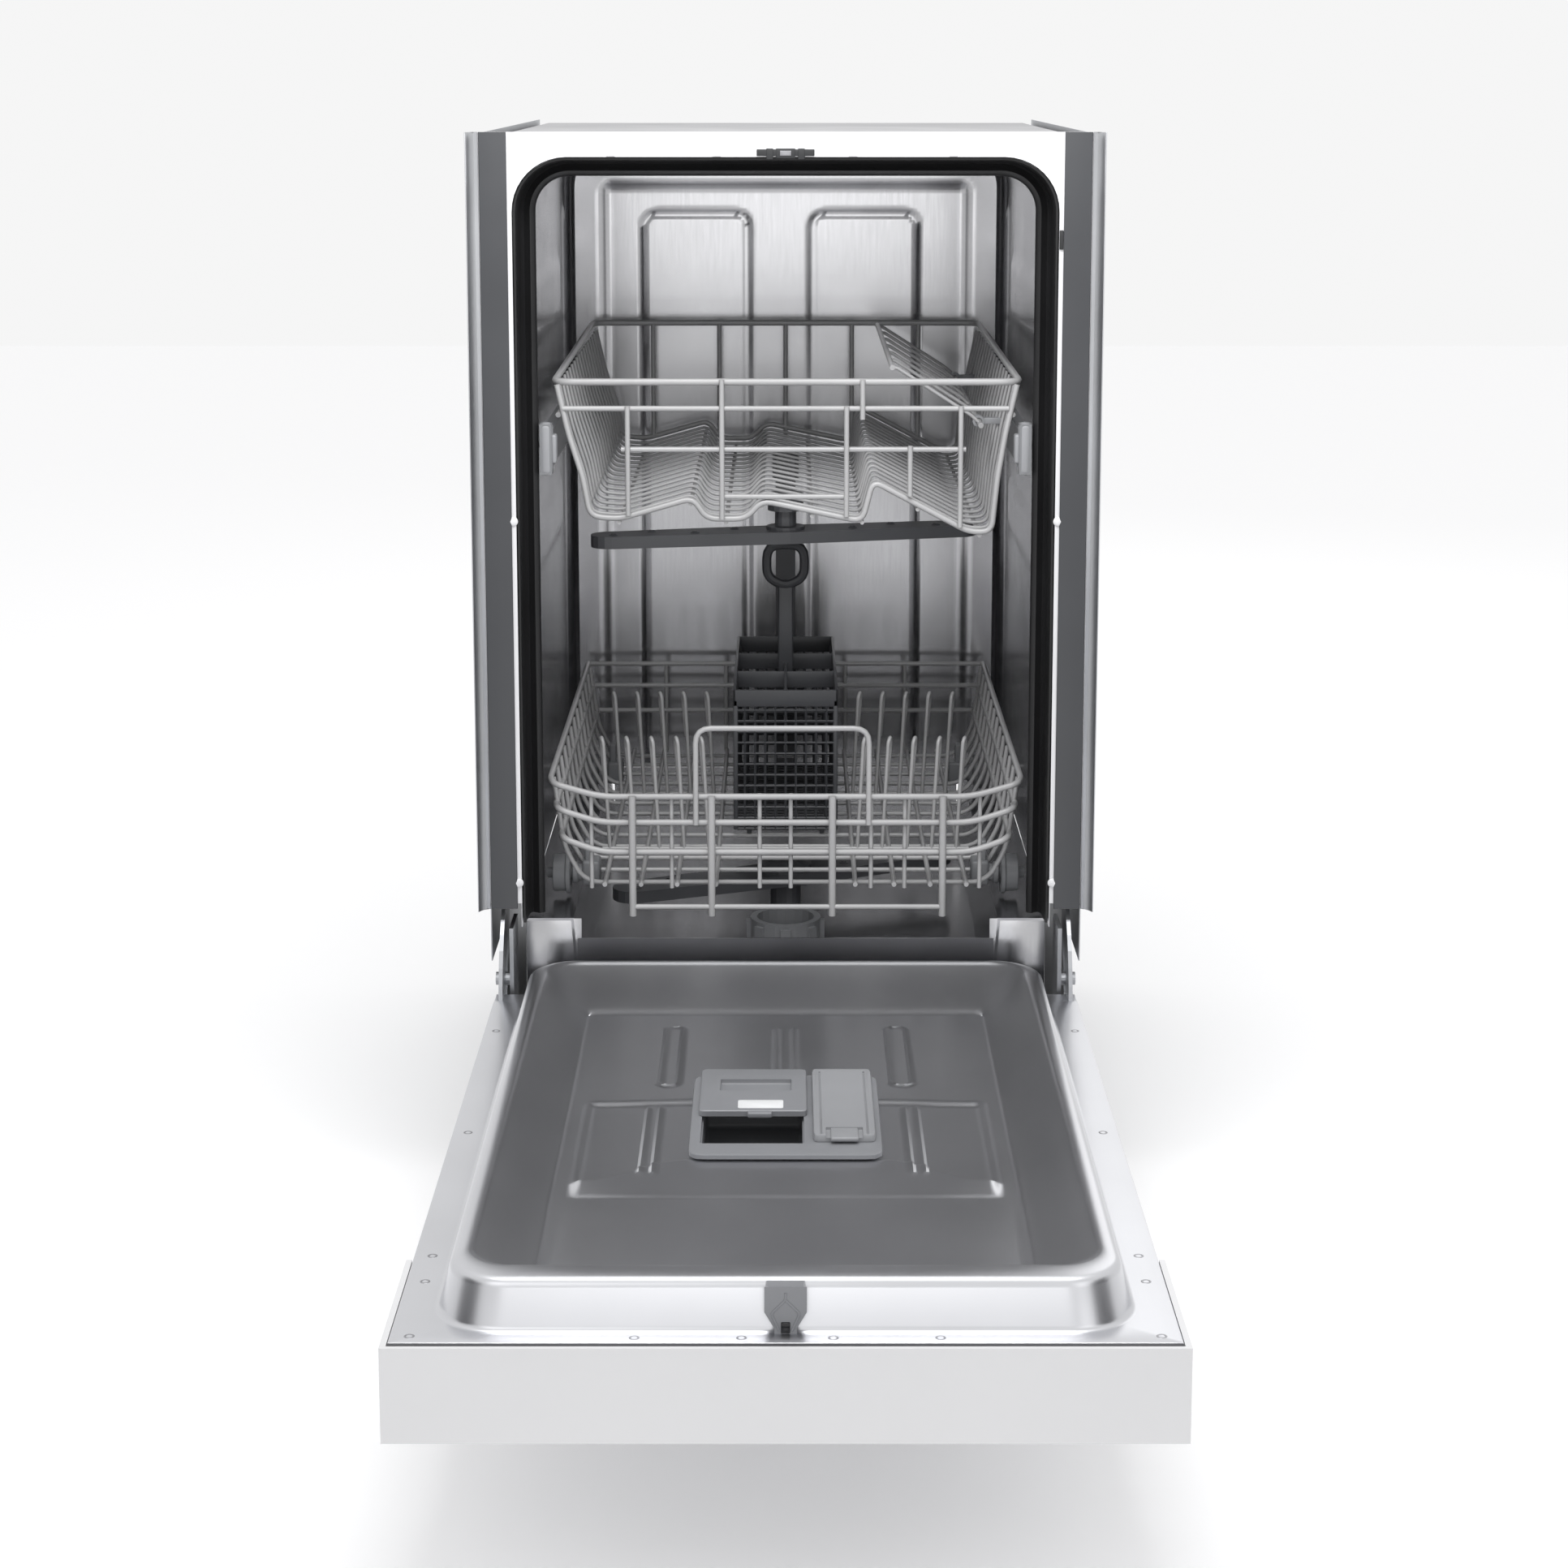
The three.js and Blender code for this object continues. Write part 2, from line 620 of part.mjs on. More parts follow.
// ---- Lower rack ---------------------------------------------------------------------------

const lowerGroup = new THREE.Group();
machine.add(lowerGroup);

function makeLowerRack() {
  const { floor, half, footHalf, front, back } = lowerRack;
  const thin = 2;
  const axles = Object.values(sides).flatMap((side) =>
    [wheel.front, wheel.back].map((y) => rod([side * 150, y, wheel.z], [side * 180, y, wheel.z], 4, 8)),
  );
  const grid = join(
    spaced(56, 490, 9).map((y) => block([-156, 156], [y - 1.7, y + 1.7], [floor - 1.7, floor + 1.7])),
    spaced(-150, 150, 7).map((x) => block([x - 1.7, x + 1.7], [52, 494], [floor - 2, floor + 2])),
    axles,
  );
  piece("lower_rack_floor", "rackCoat", grid, lowerGroup);

  const railAt = (z) => footHalf + ((half - footHalf) * (z - 241)) / (307.5 - 241);
  const posts = [
    ...[60, 150, 250, 350, 480].flatMap((y) => sidePosts(y, [footHalf, 241], [half, 307.5], 1.5)),
    ...[-118, -57, 36, 121].map((x) => post(x, front, [214, 307.5], 2.3)),
    ...[-110, 0, 110].map((x) => post(x, back, [241, 307.5], 1.5)),
  ];
  const walls = join(
    ring(footHalf, front, back, 241, thin),
    [263.5, 287, 307.5].map((z) => ring(railAt(z), front, back, z, 2.4)),
    frontRail([-118, 121], front, 221, thin),
    post(-69, front, [286, 362], 2.2),
    post(64, front, [286, 362], 2.2),
    frontRail([-70, 65], front, 361, 2),
    posts,
  );
  piece("lower_rack_walls", "rackCoat", walls, lowerGroup);

  const base = 238;
  const tip = 330;
  const footing = 148;
  for (const [name, y] of Object.entries(tineRows)) {
    const tines = spaced(0, 80, 5).flatMap((x) => [
      ribbon([[-62 - x, base], [-67 - x, tip]], 3, y - 1.4, y + 1.4),
      ribbon([[58 + x, base], [63 + x, tip]], 3, y - 1.4, y + 1.4),
    ]);
    const comb = join(frontRail([-footing, footing], y, base, 1.6), tines);
    piece("tine_row_" + name, "rackCoat", comb, lowerGroup);
  }

  const { flange, tread, bore, half: reach } = wheel;
  const tyre = [
    [bore, -reach], [tread - 2.5, -reach], [tread, 2 - reach], [tread, 3],
    [flange, 3], [flange, reach], [bore, reach], [bore, -reach],
  ];
  const corners = { front: wheel.front, back: wheel.back };
  for (const [end, y] of Object.entries(corners))
    for (const [name, side] of Object.entries(sides)) {
      const shape = new THREE.LatheGeometry(tyre.map(([r, a]) => new THREE.Vector2(r, a)), 20);
      const mesh = piece(`wheel_${end}_${name}`, "greyPlastic", shape.rotateZ(Math.PI / 2), lowerGroup);
      mesh.position.set(side * wheel.x, y, wheel.z);
      if (side < 0) mesh.rotation.z = Math.PI;
    }
}

function makeBasket() {
  const { half: wide, front, back, bottom, top, wall } = basket;
  const rib = wall / 2;
  const cell = (back - front - wall) / 3;
  const cells = Object.values(sides).flatMap((side) =>
    [0, 1, 2].map((i) => {
      const near = front + wall + cell * i;
      return sideBlock(side, [rib, wide - wall], [near, near + cell - wall], [bottom + wall, top + 1]);
    }),
  );
  const shell = cut(middleBlock(wide, [front, back], [bottom, top]), cells);
  const middle = (front + back) / 2;
  const grip = [[0, 420], [-16, 432], [-16, 460], [16, 460], [16, 432], [0, 420]];
  const loop = wire(grip.map(([x, z]) => [x, middle, z]), 4, 6);
  const stem = middleBlock(6, [middle - 2, middle + 2], [top - 20, 425]);
  piece("cutlery_basket", "darkArm", join(shell, stem, loop), lowerGroup);
}

makeTub();
makeFront();
makeCasing();
makeWaterParts();
makeLowerArm();
makeFilter();
makeHingeBrackets();
makeDoorShell();
makeConsole();
makeHingeArms();
makeDispenser();
makeUpperRack();
makeRollers();
makeLowerRack();
makeBasket();

// The origin goes under the middle of the whole machine.
machine.position.y = (doorReach - depth) / 2;

export default machine;
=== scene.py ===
# %% [markdown]
# # A slim built-in dishwasher
# The real machine is a steel tub in a thin casing, with a drop-down door, two wire racks and spray arms.
# The engineering model gives every solid its place. Here each one gets its fine shape and its finish.
# %% Load the frame
import math
import bmesh
import bpy
from mathutils import Matrix, Vector


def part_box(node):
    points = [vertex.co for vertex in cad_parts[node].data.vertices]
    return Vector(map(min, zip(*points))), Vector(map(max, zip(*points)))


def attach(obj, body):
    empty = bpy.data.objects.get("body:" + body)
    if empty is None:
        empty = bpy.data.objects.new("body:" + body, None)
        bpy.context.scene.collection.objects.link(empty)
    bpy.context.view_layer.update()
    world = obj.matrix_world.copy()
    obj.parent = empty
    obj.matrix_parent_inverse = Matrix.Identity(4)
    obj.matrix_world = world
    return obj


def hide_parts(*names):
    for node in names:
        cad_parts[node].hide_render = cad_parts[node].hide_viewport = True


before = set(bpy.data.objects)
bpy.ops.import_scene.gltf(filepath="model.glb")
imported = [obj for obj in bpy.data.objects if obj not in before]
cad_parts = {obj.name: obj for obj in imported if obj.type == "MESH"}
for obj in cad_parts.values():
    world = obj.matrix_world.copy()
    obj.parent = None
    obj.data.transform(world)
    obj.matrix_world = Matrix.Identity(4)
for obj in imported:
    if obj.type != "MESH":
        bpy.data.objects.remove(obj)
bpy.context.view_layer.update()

scene = bpy.context.scene
mm = 0.001
left_right = (("left", -1), ("right", 1))

# %% [markdown]
# ## Camera
# A long lens looks down a little on the open door. The picture is framed low, so the lens is shifted down.
# The machine's front frame stands a little behind the middle of its box, because the door reaches forward.
# %% Camera
front_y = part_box("front_frame")[0][1]
camera_data = bpy.data.cameras.new("camera")
camera_data.lens = 67.1
camera_data.sensor_width = 36
camera_data.shift_x = -0.001
camera_data.shift_y = -0.1434
camera = bpy.data.objects.new("camera", camera_data)
scene.collection.objects.link(camera)
camera.location = (0, front_y - 2.142, 0.863)
camera.rotation_euler = (math.radians(90 - 9.6), 0, 0)
scene.camera = camera
print("camera", tuple(round(v, 3) for v in camera.location))

# %% [markdown]
# ## Studio
# A pale floor and big soft lights. Polished steel shows what stands around it, so the room is light in front
# and above, and a darker card to each side gives the steel its dark bands.
# %% Studio


def deselect():
    bpy.ops.object.select_all(action="DESELECT")


def make_active(piece):
    deselect()
    piece.select_set(True)
    bpy.context.view_layer.objects.active = piece


def studio_material(name, colour, emission=0.0):
    material = bpy.data.materials.new(name)
    material.use_nodes = True
    shader = material.node_tree.nodes["Principled BSDF"]
    shader.inputs["Base Color"].default_value = (*colour, 1)
    shader.inputs["Roughness"].default_value = 0.9
    shader.inputs["Emission Color"].default_value = (*colour, 1)
    shader.inputs["Emission Strength"].default_value = emission
    return material


def studio_plane(name, size, location, rotation, material):
    deselect()
    bpy.ops.mesh.primitive_plane_add(size=1, location=location, rotation=rotation)
    plane = bpy.context.object
    plane.name = name
    plane.scale = (size[0], size[1], 1)
    plane.data.materials.append(material)
    return plane


floor_white = studio_material("studio_floor", (0.88, 0.88, 0.885), 0.14)
studio_plane("studio_floor", (14, 14), (0, 0, -0.001), (0, 0, 0), floor_white)


def soft_light(name, location, target, size, energy):
    data = bpy.data.lights.new(name, "AREA")
    data.shape = "RECTANGLE"
    data.size, data.size_y = size
    data.energy = energy
    light = bpy.data.objects.new(name, data)
    scene.collection.objects.link(light)
    light.location = location
    way = Vector(target) - Vector(location)
    light.rotation_euler = way.to_track_quat("-Z", "Y").to_euler()


soft_light("key_light", (-0.9, -2.6, 2.3), (0, 0, 0.35), (1.6, 1.2), 5)
soft_light("fill_light", (1.5, -2.2, 1.5), (0, 0, 0.4), (1.2, 1.4), 3)
soft_light("top_light", (0, -0.4, 2.6), (0, -0.2, 0.2), (1.2, 1.6), 5)
soft_light("low_light", (0, -3.2, 0.7), (0, 0.3, 0.5), (1.0, 0.5), 3)
soft_light("back_light", (0.6, 2.6, 1.8), (0, 0.3, 0.4), (1.6, 1.4), 5)
soft_light("rack_light", (0, front_y - 0.42, 1.22), (0, 0.35, 0.3), (0.7, 0.25), 6)
world = bpy.data.worlds.new("studio")
world.use_nodes = True
backdrop = world.node_tree.nodes["Background"].inputs
backdrop["Color"].default_value = (1, 1, 1, 1)
backdrop["Strength"].default_value = 0.92
scene.world = world
scene.view_settings.view_transform = "Standard"
dark_card = studio_material("studio_card", (0.05, 0.05, 0.055))
upright = (math.pi / 2, 0, math.pi / 2)
for side in (-1, 1):
    card = studio_plane("studio_card", (1.3, 1.1), (side * 1.75, -1.2, 0.75), upright, dark_card)
    card.visible_camera = False
print("lights placed")

# %% [markdown]
# ## Shared surface effects
# Small effects are node groups, built once. Each has named inputs, and puts out masks and heights only.
# The shaders stay in the materials, so every finish can be read in one place.
# %% Node group helpers


class Nodes:
    """A node tree that grows by short calls."""

    def __init__(self, tree):
        self.tree = tree

    def add(self, kind, settings=None, **links):
        node = self.tree.nodes.new(kind)
        for key, value in (settings or {}).items():
            setattr(node, key, value)
        for key, value in links.items():
            place = int(key[1:]) if key[1:].isdigit() else key.replace("_", " ")
            socket = node.inputs[place]
            if isinstance(value, bpy.types.NodeSocket):
                self.tree.links.new(value, socket)
            else:
                socket.default_value = value
        return node

    def ramp(self, fac, stops):
        node = self.add("ShaderNodeValToRGB", Fac=fac)
        ramp = node.color_ramp
        while len(ramp.elements) < len(stops):
            ramp.elements.new(0.5)
        for element, (place, shade) in zip(ramp.elements, stops):
            element.position = place
            element.color = (*shade, 1) if isinstance(shade, tuple) else (shade, shade, shade, 1)
        return node.outputs["Color"]

    def math(self, operation, a, b):
        return self.add("ShaderNodeMath", {"operation": operation}, _0=a, _1=b).outputs[0]


def node_group(name, inputs, outputs):
    tree = bpy.data.node_groups.new(name, "ShaderNodeTree")
    for label, kind, default in inputs:
        socket = tree.interface.new_socket(label, in_out="INPUT", socket_type=kind)
        socket.default_value = default
    for label in outputs:
        tree.interface.new_socket(label, in_out="OUTPUT", socket_type="NodeSocketFloat")
    nodes = Nodes(tree)
    source = nodes.add("NodeGroupInput")
    target = nodes.add("NodeGroupOutput")
    return nodes, source.outputs, target.inputs


# %% [markdown]
# Rolled or brushed steel has long fine scratches along one direction, and broad faint clouds where it was
# wiped. Stretching a noise along one axis gives the scratches.
# %% Brushed steel group
nodes, source, target = node_group(
    "steel_brushing",
    [("Stretch", "NodeSocketVector", (40, 1200, 1200)), ("Cloud Size", "NodeSocketFloat", 9.0)],
    ["Lines", "Clouds"],
)
place = nodes.add("ShaderNodeTexCoord").outputs["Object"]
lines = nodes.add("ShaderNodeMapping", Vector=place, Scale=source["Stretch"]).outputs[0]
scratches = nodes.add("ShaderNodeTexNoise", Vector=lines, Scale=1.0, Detail=3.0).outputs["Fac"]
clouds = nodes.add("ShaderNodeTexNoise", Vector=place, Scale=source["Cloud Size"], Detail=4.0).outputs["Fac"]
nodes.tree.links.new(scratches, target["Lines"])
nodes.tree.links.new(clouds, target["Clouds"])
steel_brushing = nodes.tree

# %% [markdown]
# Moulded plastic has a fine even grain, and its gloss changes a little from place to place.
# %% Moulded grain group
nodes, source, target = node_group(
    "moulded_grain", [("Grain Size", "NodeSocketFloat", 900.0)], ["Grain", "Patches"]
)
place = nodes.add("ShaderNodeTexCoord").outputs["Object"]
grain = nodes.add("ShaderNodeTexNoise", Vector=place, Scale=source["Grain Size"], Detail=2.0).outputs["Fac"]
patches = nodes.add("ShaderNodeTexNoise", Vector=place, Scale=14.0, Detail=5.0).outputs["Fac"]
nodes.tree.links.new(grain, target["Grain"])
nodes.tree.links.new(patches, target["Patches"])
moulded_grain = nodes.tree

# %% [markdown]
# Steel sheet, from the mirror-like tub to the satin door, differs in colour, gloss and how deep the
# scratches are. One function makes them all.
# %% Steel finishes


def new_finish(name):
    """A material, its growing node tree and its shader."""
    material = bpy.data.materials.new(name)
    material.use_nodes = True
    return material, Nodes(material.node_tree), material.node_tree.nodes["Principled BSDF"]


def connect(material, shader, colour, rough, bump):
    for name, source in (("Base Color", colour), ("Roughness", rough), ("Normal", bump.outputs[0])):
        material.node_tree.links.new(source, shader.inputs[name])
    return material


def steel(name, colour, rough, stretch, depth=0.03, spread=0.08, dark=0.82):
    material, nodes, shader = new_finish(name)
    shader.inputs["Metallic"].default_value = 1.0
    group = nodes.add("ShaderNodeGroup", {"node_tree": steel_brushing}, Stretch=stretch)
    low = tuple(c * dark for c in colour)
    shade = nodes.ramp(group.outputs["Clouds"], [(0.3, low), (0.7, colour)])
    lined = nodes.math("MULTIPLY", group.outputs["Lines"], spread)
    clouded = nodes.math("MULTIPLY", group.outputs["Clouds"], spread)
    total = nodes.math("ADD", nodes.math("ADD", lined, rough), clouded)
    bump = nodes.add("ShaderNodeBump", Strength=depth, Distance=0.0004, Height=group.outputs["Lines"])
    return connect(material, shader, shade, total, bump)


tub_steel = steel("polished_tub_steel", (0.55, 0.55, 0.565), 0.12, (500, 30, 30), 0.006, 0.10, 0.8)
door_steel = steel("satin_door_steel", (0.66, 0.665, 0.69), 0.25, (900, 30, 900), 0.004, 0.05, 0.93)
zinc_steel = steel("zinc_coated_steel", (0.46, 0.47, 0.49), 0.34, (180, 180, 180), 0.08, 0.1, 0.88)
screw_steel = steel("screw_steel", (0.40, 0.40, 0.42), 0.22, (900, 900, 900), 0.05, 0.1)
lip_steel = steel("strip_lip_metal", (0.62, 0.63, 0.65), 0.26, (1400, 1400, 40), 0.03, 0.08)
print("steel finishes ready")

# %% [markdown]
# Plastics, rubber and paint share one recipe: a base colour that drifts a little, a roughness that follows
# the patches, and a shallow grain in the bump.
# %% Moulded and painted finishes


def moulded(name, colour, rough, grain_size=900.0, depth=0.15, drift=0.9, coat=0.0):
    material, nodes, shader = new_finish(name)
    shader.inputs["Coat Weight"].default_value = coat
    shader.inputs["Coat Roughness"].default_value = 0.15
    group = nodes.add("ShaderNodeGroup", {"node_tree": moulded_grain}, Grain_Size=grain_size)
    low = tuple(c * drift for c in colour)
    shade = nodes.ramp(group.outputs["Patches"], [(0.32, low), (0.68, colour)])
    spread = nodes.math("MULTIPLY", group.outputs["Patches"], 0.14)
    total = nodes.math("ADD", spread, rough - 0.07)
    bump = nodes.add("ShaderNodeBump", Strength=depth, Distance=0.0003, Height=group.outputs["Grain"])
    return connect(material, shader, shade, total, bump)


frame_white = moulded("white_enamel", (0.72, 0.72, 0.735), 0.32, 300.0, 0.04, 0.975)
panel_white = moulded("white_panel_plastic", (0.68, 0.68, 0.69), 0.42, 700.0, 0.06, 0.985)
strip_grey = moulded("strip_dark_grey", (0.040, 0.042, 0.047), 0.36, 600.0, 0.05, 0.9)
seal_black = moulded("seal_rubber", (0.012, 0.012, 0.013), 0.46, 500.0, 0.2, 0.7)
mat_felt = moulded("sound_mat_felt", (0.44, 0.44, 0.45), 0.93, 420.0, 1.0, 0.85)
base_black = moulded("base_black_plastic", (0.022, 0.023, 0.025), 0.5, 700.0, 0.25, 0.7)
mid_grey = moulded("dispenser_grey", (0.24, 0.245, 0.26), 0.36, 800.0, 0.12)
pale_grey = moulded("lid_grey", (0.30, 0.305, 0.32), 0.36, 800.0, 0.12)
wheel_grey = moulded("wheel_grey", (0.20, 0.205, 0.215), 0.42, 800.0, 0.15)
arm_grey = moulded("spray_arm_grey", (0.075, 0.077, 0.084), 0.36, 800.0, 0.15, 0.85)
basket_grey = moulded("basket_grey", (0.055, 0.057, 0.063), 0.4, 800.0, 0.15, 0.85)
rack_grey = moulded("rack_nylon", (0.42, 0.42, 0.425), 0.32, 260.0, 0.08, 0.86, 0.15)
# Black of the display window, also used as painted shade in the spray arms' slots and the latch's mouth
window_black_and_hole_shade = moulded("window_black_and_hole_shade", (0.006, 0.006, 0.008), 0.12, 900.0, 0.02, 0.8)
label_white = moulded("label_white", (0.75, 0.76, 0.77), 0.5, 900.0, 0.05)
print("moulded finishes ready")

# %% [markdown]
# ## Carried-over solids
# These solids already have the right shape. They only need their finish, which goes in their first slot.
# %% Finishes on the frame's own solids
node_finish = [
    (tub_steel, "tub_floor"),
    (mat_felt, "top_mat"),
    (base_black,
     "base_tray kick_plate foot_front_left foot_front_right foot_rear sump "
     "drain_pump control_box"),
    (mid_grey, "wash_pump"),
    (pale_grey,
     "inlet_valve air_break_chamber rail_roller_left rail_roller_right power_button "
     "program_button start_button"),
    (arm_grey, "riser_pipe lower_spray_arm upper_arm_feed upper_spray_arm"),
    (zinc_steel, "hinge_bracket_left hinge_bracket_right hinge_arm_left hinge_arm_right"),
    (wheel_grey, "filter rack_rail_left rack_rail_right"),
    (frame_white, "door_outer_panel front_frame"),
    (seal_black, "door_bottom_seal"),
    (panel_white, "console"),
    (window_black_and_hole_shade, "display_window"),
]
for material, names in node_finish:
    for node in names.split():
        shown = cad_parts[node].data.materials
        shown.clear()
        shown.append(material)
print("finishes given:", len(node_finish))

# %% [markdown]
# Pressed and moulded edges are never razor sharp. A narrow bevel on the frame's own solids catches the light
# the way a real edge does, and the solids themselves stay as they are.
# %% Softened edges


def soften(node, width):
    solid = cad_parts[node]
    flat = solid.modifiers.new("merge_flats", "DECIMATE")
    flat.decimate_type = "DISSOLVE"
    flat.angle_limit = math.radians(1)
    bevel = solid.modifiers.new("soft_edges", "BEVEL")
    bevel.width = width * mm
    bevel.segments = 2
    bevel.limit_method = "ANGLE"
    bevel.angle_limit = math.radians(35)
    make_active(solid)
    bpy.ops.object.shade_smooth_by_angle(angle=math.radians(40))


softened = {
    0.5: "hinge_arm_left hinge_arm_right",
    0.6: "door_outer_panel filter",
    0.8: "power_button program_button start_button kick_plate sump tub_floor "
         "rail_roller_left rail_roller_right",
    1.0: "upper_arm_feed base_tray inlet_valve foot_front_left foot_front_right foot_rear",
    1.2: "riser_pipe",
    1.4: "console",
    1.5: "top_mat",
    2.0: "wash_pump drain_pump air_break_chamber",
    2.2: "rack_rail_left rack_rail_right",
    2.4: "lower_spray_arm",
    2.6: "upper_spray_arm",
}
for width, names in softened.items():
    for node in names.split():
        soften(node, width)
print("edge widths used:", len(softened))

# %% [markdown]
# ## Helpers for new pieces
# Places are given in millimetres from the plane of the white front frame. A helper turns a finished mesh into
# a piece: its place goes into the mesh, its normals turn outward, and it rides on its body.
# %% Piece helpers


face_outward = (bpy.ops.mesh.normals_make_consistent, {"inside": False})


def spot(x, y, z):
    return Vector((x * mm, front_y + y * mm, z * mm))


def settle():
    """Moves the active piece's place, turn and size into its mesh."""
    bpy.ops.object.transform_apply(location=True, rotation=True, scale=True)


def edit_whole(piece, *steps):
    """Mesh operators with their settings, each run on the whole piece."""
    make_active(piece)
    bpy.ops.object.mode_set(mode="EDIT")
    for operator, settings in steps:
        bpy.ops.mesh.select_all(action="SELECT")
        operator(**settings)
    bpy.ops.object.mode_set(mode="OBJECT")


def finish(piece, name, material, body, nodes=(), angle=35, outward=True):
    piece.name = name
    piece.data.name = name
    make_active(piece)
    settle()
    if outward:
        edit_whole(piece, face_outward)
    bpy.ops.object.shade_smooth_by_angle(angle=math.radians(angle))
    piece.data.materials.clear()
    piece.data.materials.append(material)
    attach(piece, body)
    if nodes:
        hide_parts(*nodes)
    print(name, len(piece.data.polygons), "faces")
    return piece


def mesh_object(name, points, faces, edges=()):
    mesh = bpy.data.meshes.new(name)
    mesh.from_pydata(points, list(edges), faces)
    mesh.update()
    piece = bpy.data.objects.new(name, mesh)
    scene.collection.objects.link(piece)
    return piece


def apply_all(piece):
    make_active(piece)
    for modifier in list(piece.modifiers):
        bpy.ops.object.modifier_apply(modifier=modifier.name)


def thicken(piece, thickness, offset=-1):
    """Gives a surface the thickness of its sheet, in millimetres."""
    sheet = piece.modifiers.new("sheet", "SOLIDIFY")
    sheet.thickness = thickness * mm
    sheet.offset = offset
    apply_all(piece)


def round_edges(piece, width, segments=2):
    edge = piece.modifiers.new("edge", "BEVEL")
    edge.width = width * mm
    edge.segments = segments
    apply_all(piece)
    return piece


def join_pieces(pieces):
    deselect()
    for piece in pieces:
        piece.select_set(True)
    bpy.context.view_layer.objects.active = pieces[0]
    bpy.ops.object.join()
    return pieces[0]


# %% [markdown]
# A bent wire is a path with a round section. Real wire bends in an arc, so every corner of the path is
# replaced by a short arc before the path gets its thickness.
# %% Wire helper


def rounded_path(points, corner, steps=4, closed=False):
    points = [Vector(p) for p in points]
    count = len(points)
    out = []
    for i, point in enumerate(points):
        if not closed and i in (0, count - 1):
            out.append(point)
            continue
        before, after = points[i - 1] - point, points[(i + 1) % count] - point
        reach = min(corner, 0.45 * before.length, 0.45 * after.length)
        start, end = point + before.normalized() * reach, point + after.normalized() * reach
        for k in range(steps + 1):
            t = k / steps
            out.append(start.lerp(point, t).lerp(point.lerp(end, t), t))
    return out


def wires(name, groups, sides=2):
    """Groups of (radius, corner, closed, paths); every path is a list of places in millimetres."""
    made = []
    for radius, corner, closed, paths in groups:
        curve = bpy.data.curves.new(name, "CURVE")
        curve.dimensions = "3D"
        curve.bevel_depth = radius * mm
        curve.bevel_resolution = sides
        curve.use_fill_caps = True
        for path in paths:
            rounded = rounded_path(path, corner, closed=closed)
            spline = curve.splines.new("POLY")
            spline.points.add(len(rounded) - 1)
            for point, place in zip(spline.points, rounded):
                point.co = (*spot(*place), 1)
            spline.use_cyclic_u = closed
        piece = bpy.data.objects.new(name, curve)
        scene.collection.objects.link(piece)
        make_active(piece)
        bpy.ops.object.convert(target="MESH")
        made.append(bpy.context.object)
    return join_pieces(made)


# %% [markdown]
# Turned parts are drawn as half a section and spun about their axis, just as a lathe or a mould makes them.
# %% Turning helper


def turned(name, profile, centre, axis, steps=48):
    """Profile: (radius, distance along the axis) pairs in millimetres; centre in millimetres."""
    along = Vector(axis)
    across = Vector((0, 0, 1)) if abs(along.z) < 0.5 else Vector((1, 0, 0))
    middle = spot(*centre)
    points = [middle + across * r * mm + along * a * mm for r, a in profile]
    edges = [(i, i + 1) for i in range(len(points) - 1)]
    piece = mesh_object(name, points, [], edges)
    full_turn = {"steps": steps, "angle": 2 * math.pi, "center": middle, "axis": along}
    edit_whole(piece, (bpy.ops.mesh.spin, full_turn), (bpy.ops.mesh.remove_doubles, {"threshold": 0.00002}))
    return piece


# %% [markdown]
# A round-cornered box is a cube, scaled to size, with a bevel of several segments.
# %% Moulded box helper


def moulded_box(name, xs, ys, zs, bevel=1.0, segments=3):
    deselect()
    low, high = spot(xs[0], ys[0], zs[0]), spot(xs[1], ys[1], zs[1])
    bpy.ops.mesh.primitive_cube_add(size=1, location=(low + high) / 2)
    piece = bpy.context.object
    piece.name = name
    piece.scale = high - low
    settle()
    return round_edges(piece, bevel, segments)


# %% [markdown]
# A sheet that is drawn deep in a press is a stack of outlines, each with its own size, height and corner.
# Every outline has the same number of points, so neighbouring outlines join by plain quads.
# %% Outline helper


def pressed_outline(half, front, rear, z, corner, nx, ny):
    """Points round a rectangle with round corners, in millimetres, starting at the left front."""
    across = [-half + 2 * half * i / nx for i in range(nx + 1)]
    along = [front + (rear - front) * j / ny for j in range(ny + 1)]
    square = [(x, front) for x in across[:-1]] + [(half, y) for y in along[:-1]]
    square += [(x, rear) for x in across[:0:-1]] + [(-half, y) for y in along[:0:-1]]
    out = []
    for x, y in square:
        cx = math.copysign(half - corner, x)
        cy = front + corner if y < (front + rear) / 2 else rear - corner
        dx, dy = x - cx, y - cy
        rearward = 1 if cy > (front + rear) / 2 else -1
        if corner > 0 and dx * math.copysign(1, x) > 0 and dy * rearward > 0:
            grow = max(abs(dx), abs(dy)) / math.hypot(dx, dy)
            x, y = cx + dx * grow, cy + dy * grow
        out.append(spot(x, y, z))
    return out


def stacked(outlines):
    """Quads between neighbouring outlines."""
    points = [p for outline in outlines for p in outline]
    count = len(outlines[0])
    faces = []
    for k in range(len(outlines) - 1):
        for i in range(count):
            j = (i + 1) % count
            faces.append((k * count + i, k * count + j, (k + 1) * count + j, (k + 1) * count + i))
    return points, faces


# %% [markdown]
# ## Door inner sheet
# One steel sheet is drawn into a raised ring, then down into a shallow well with a long slope at the hinge
# end. Steps and beads in the well's floor keep the thin sheet stiff. The floor is a fine grid whose points
# move up and down, and the ring around it is a stack of outlines that share the grid's edge.
# %% Door inner sheet
nx, ny = 144, 244
well_half, well_front, well_rear, well_z = 145.0, -563.0, -74.0, 172.0


def ease(value, low, high):
    t = min(max((value - low) / (high - low), 0), 1)
    return t * t * (3 - 2 * t)


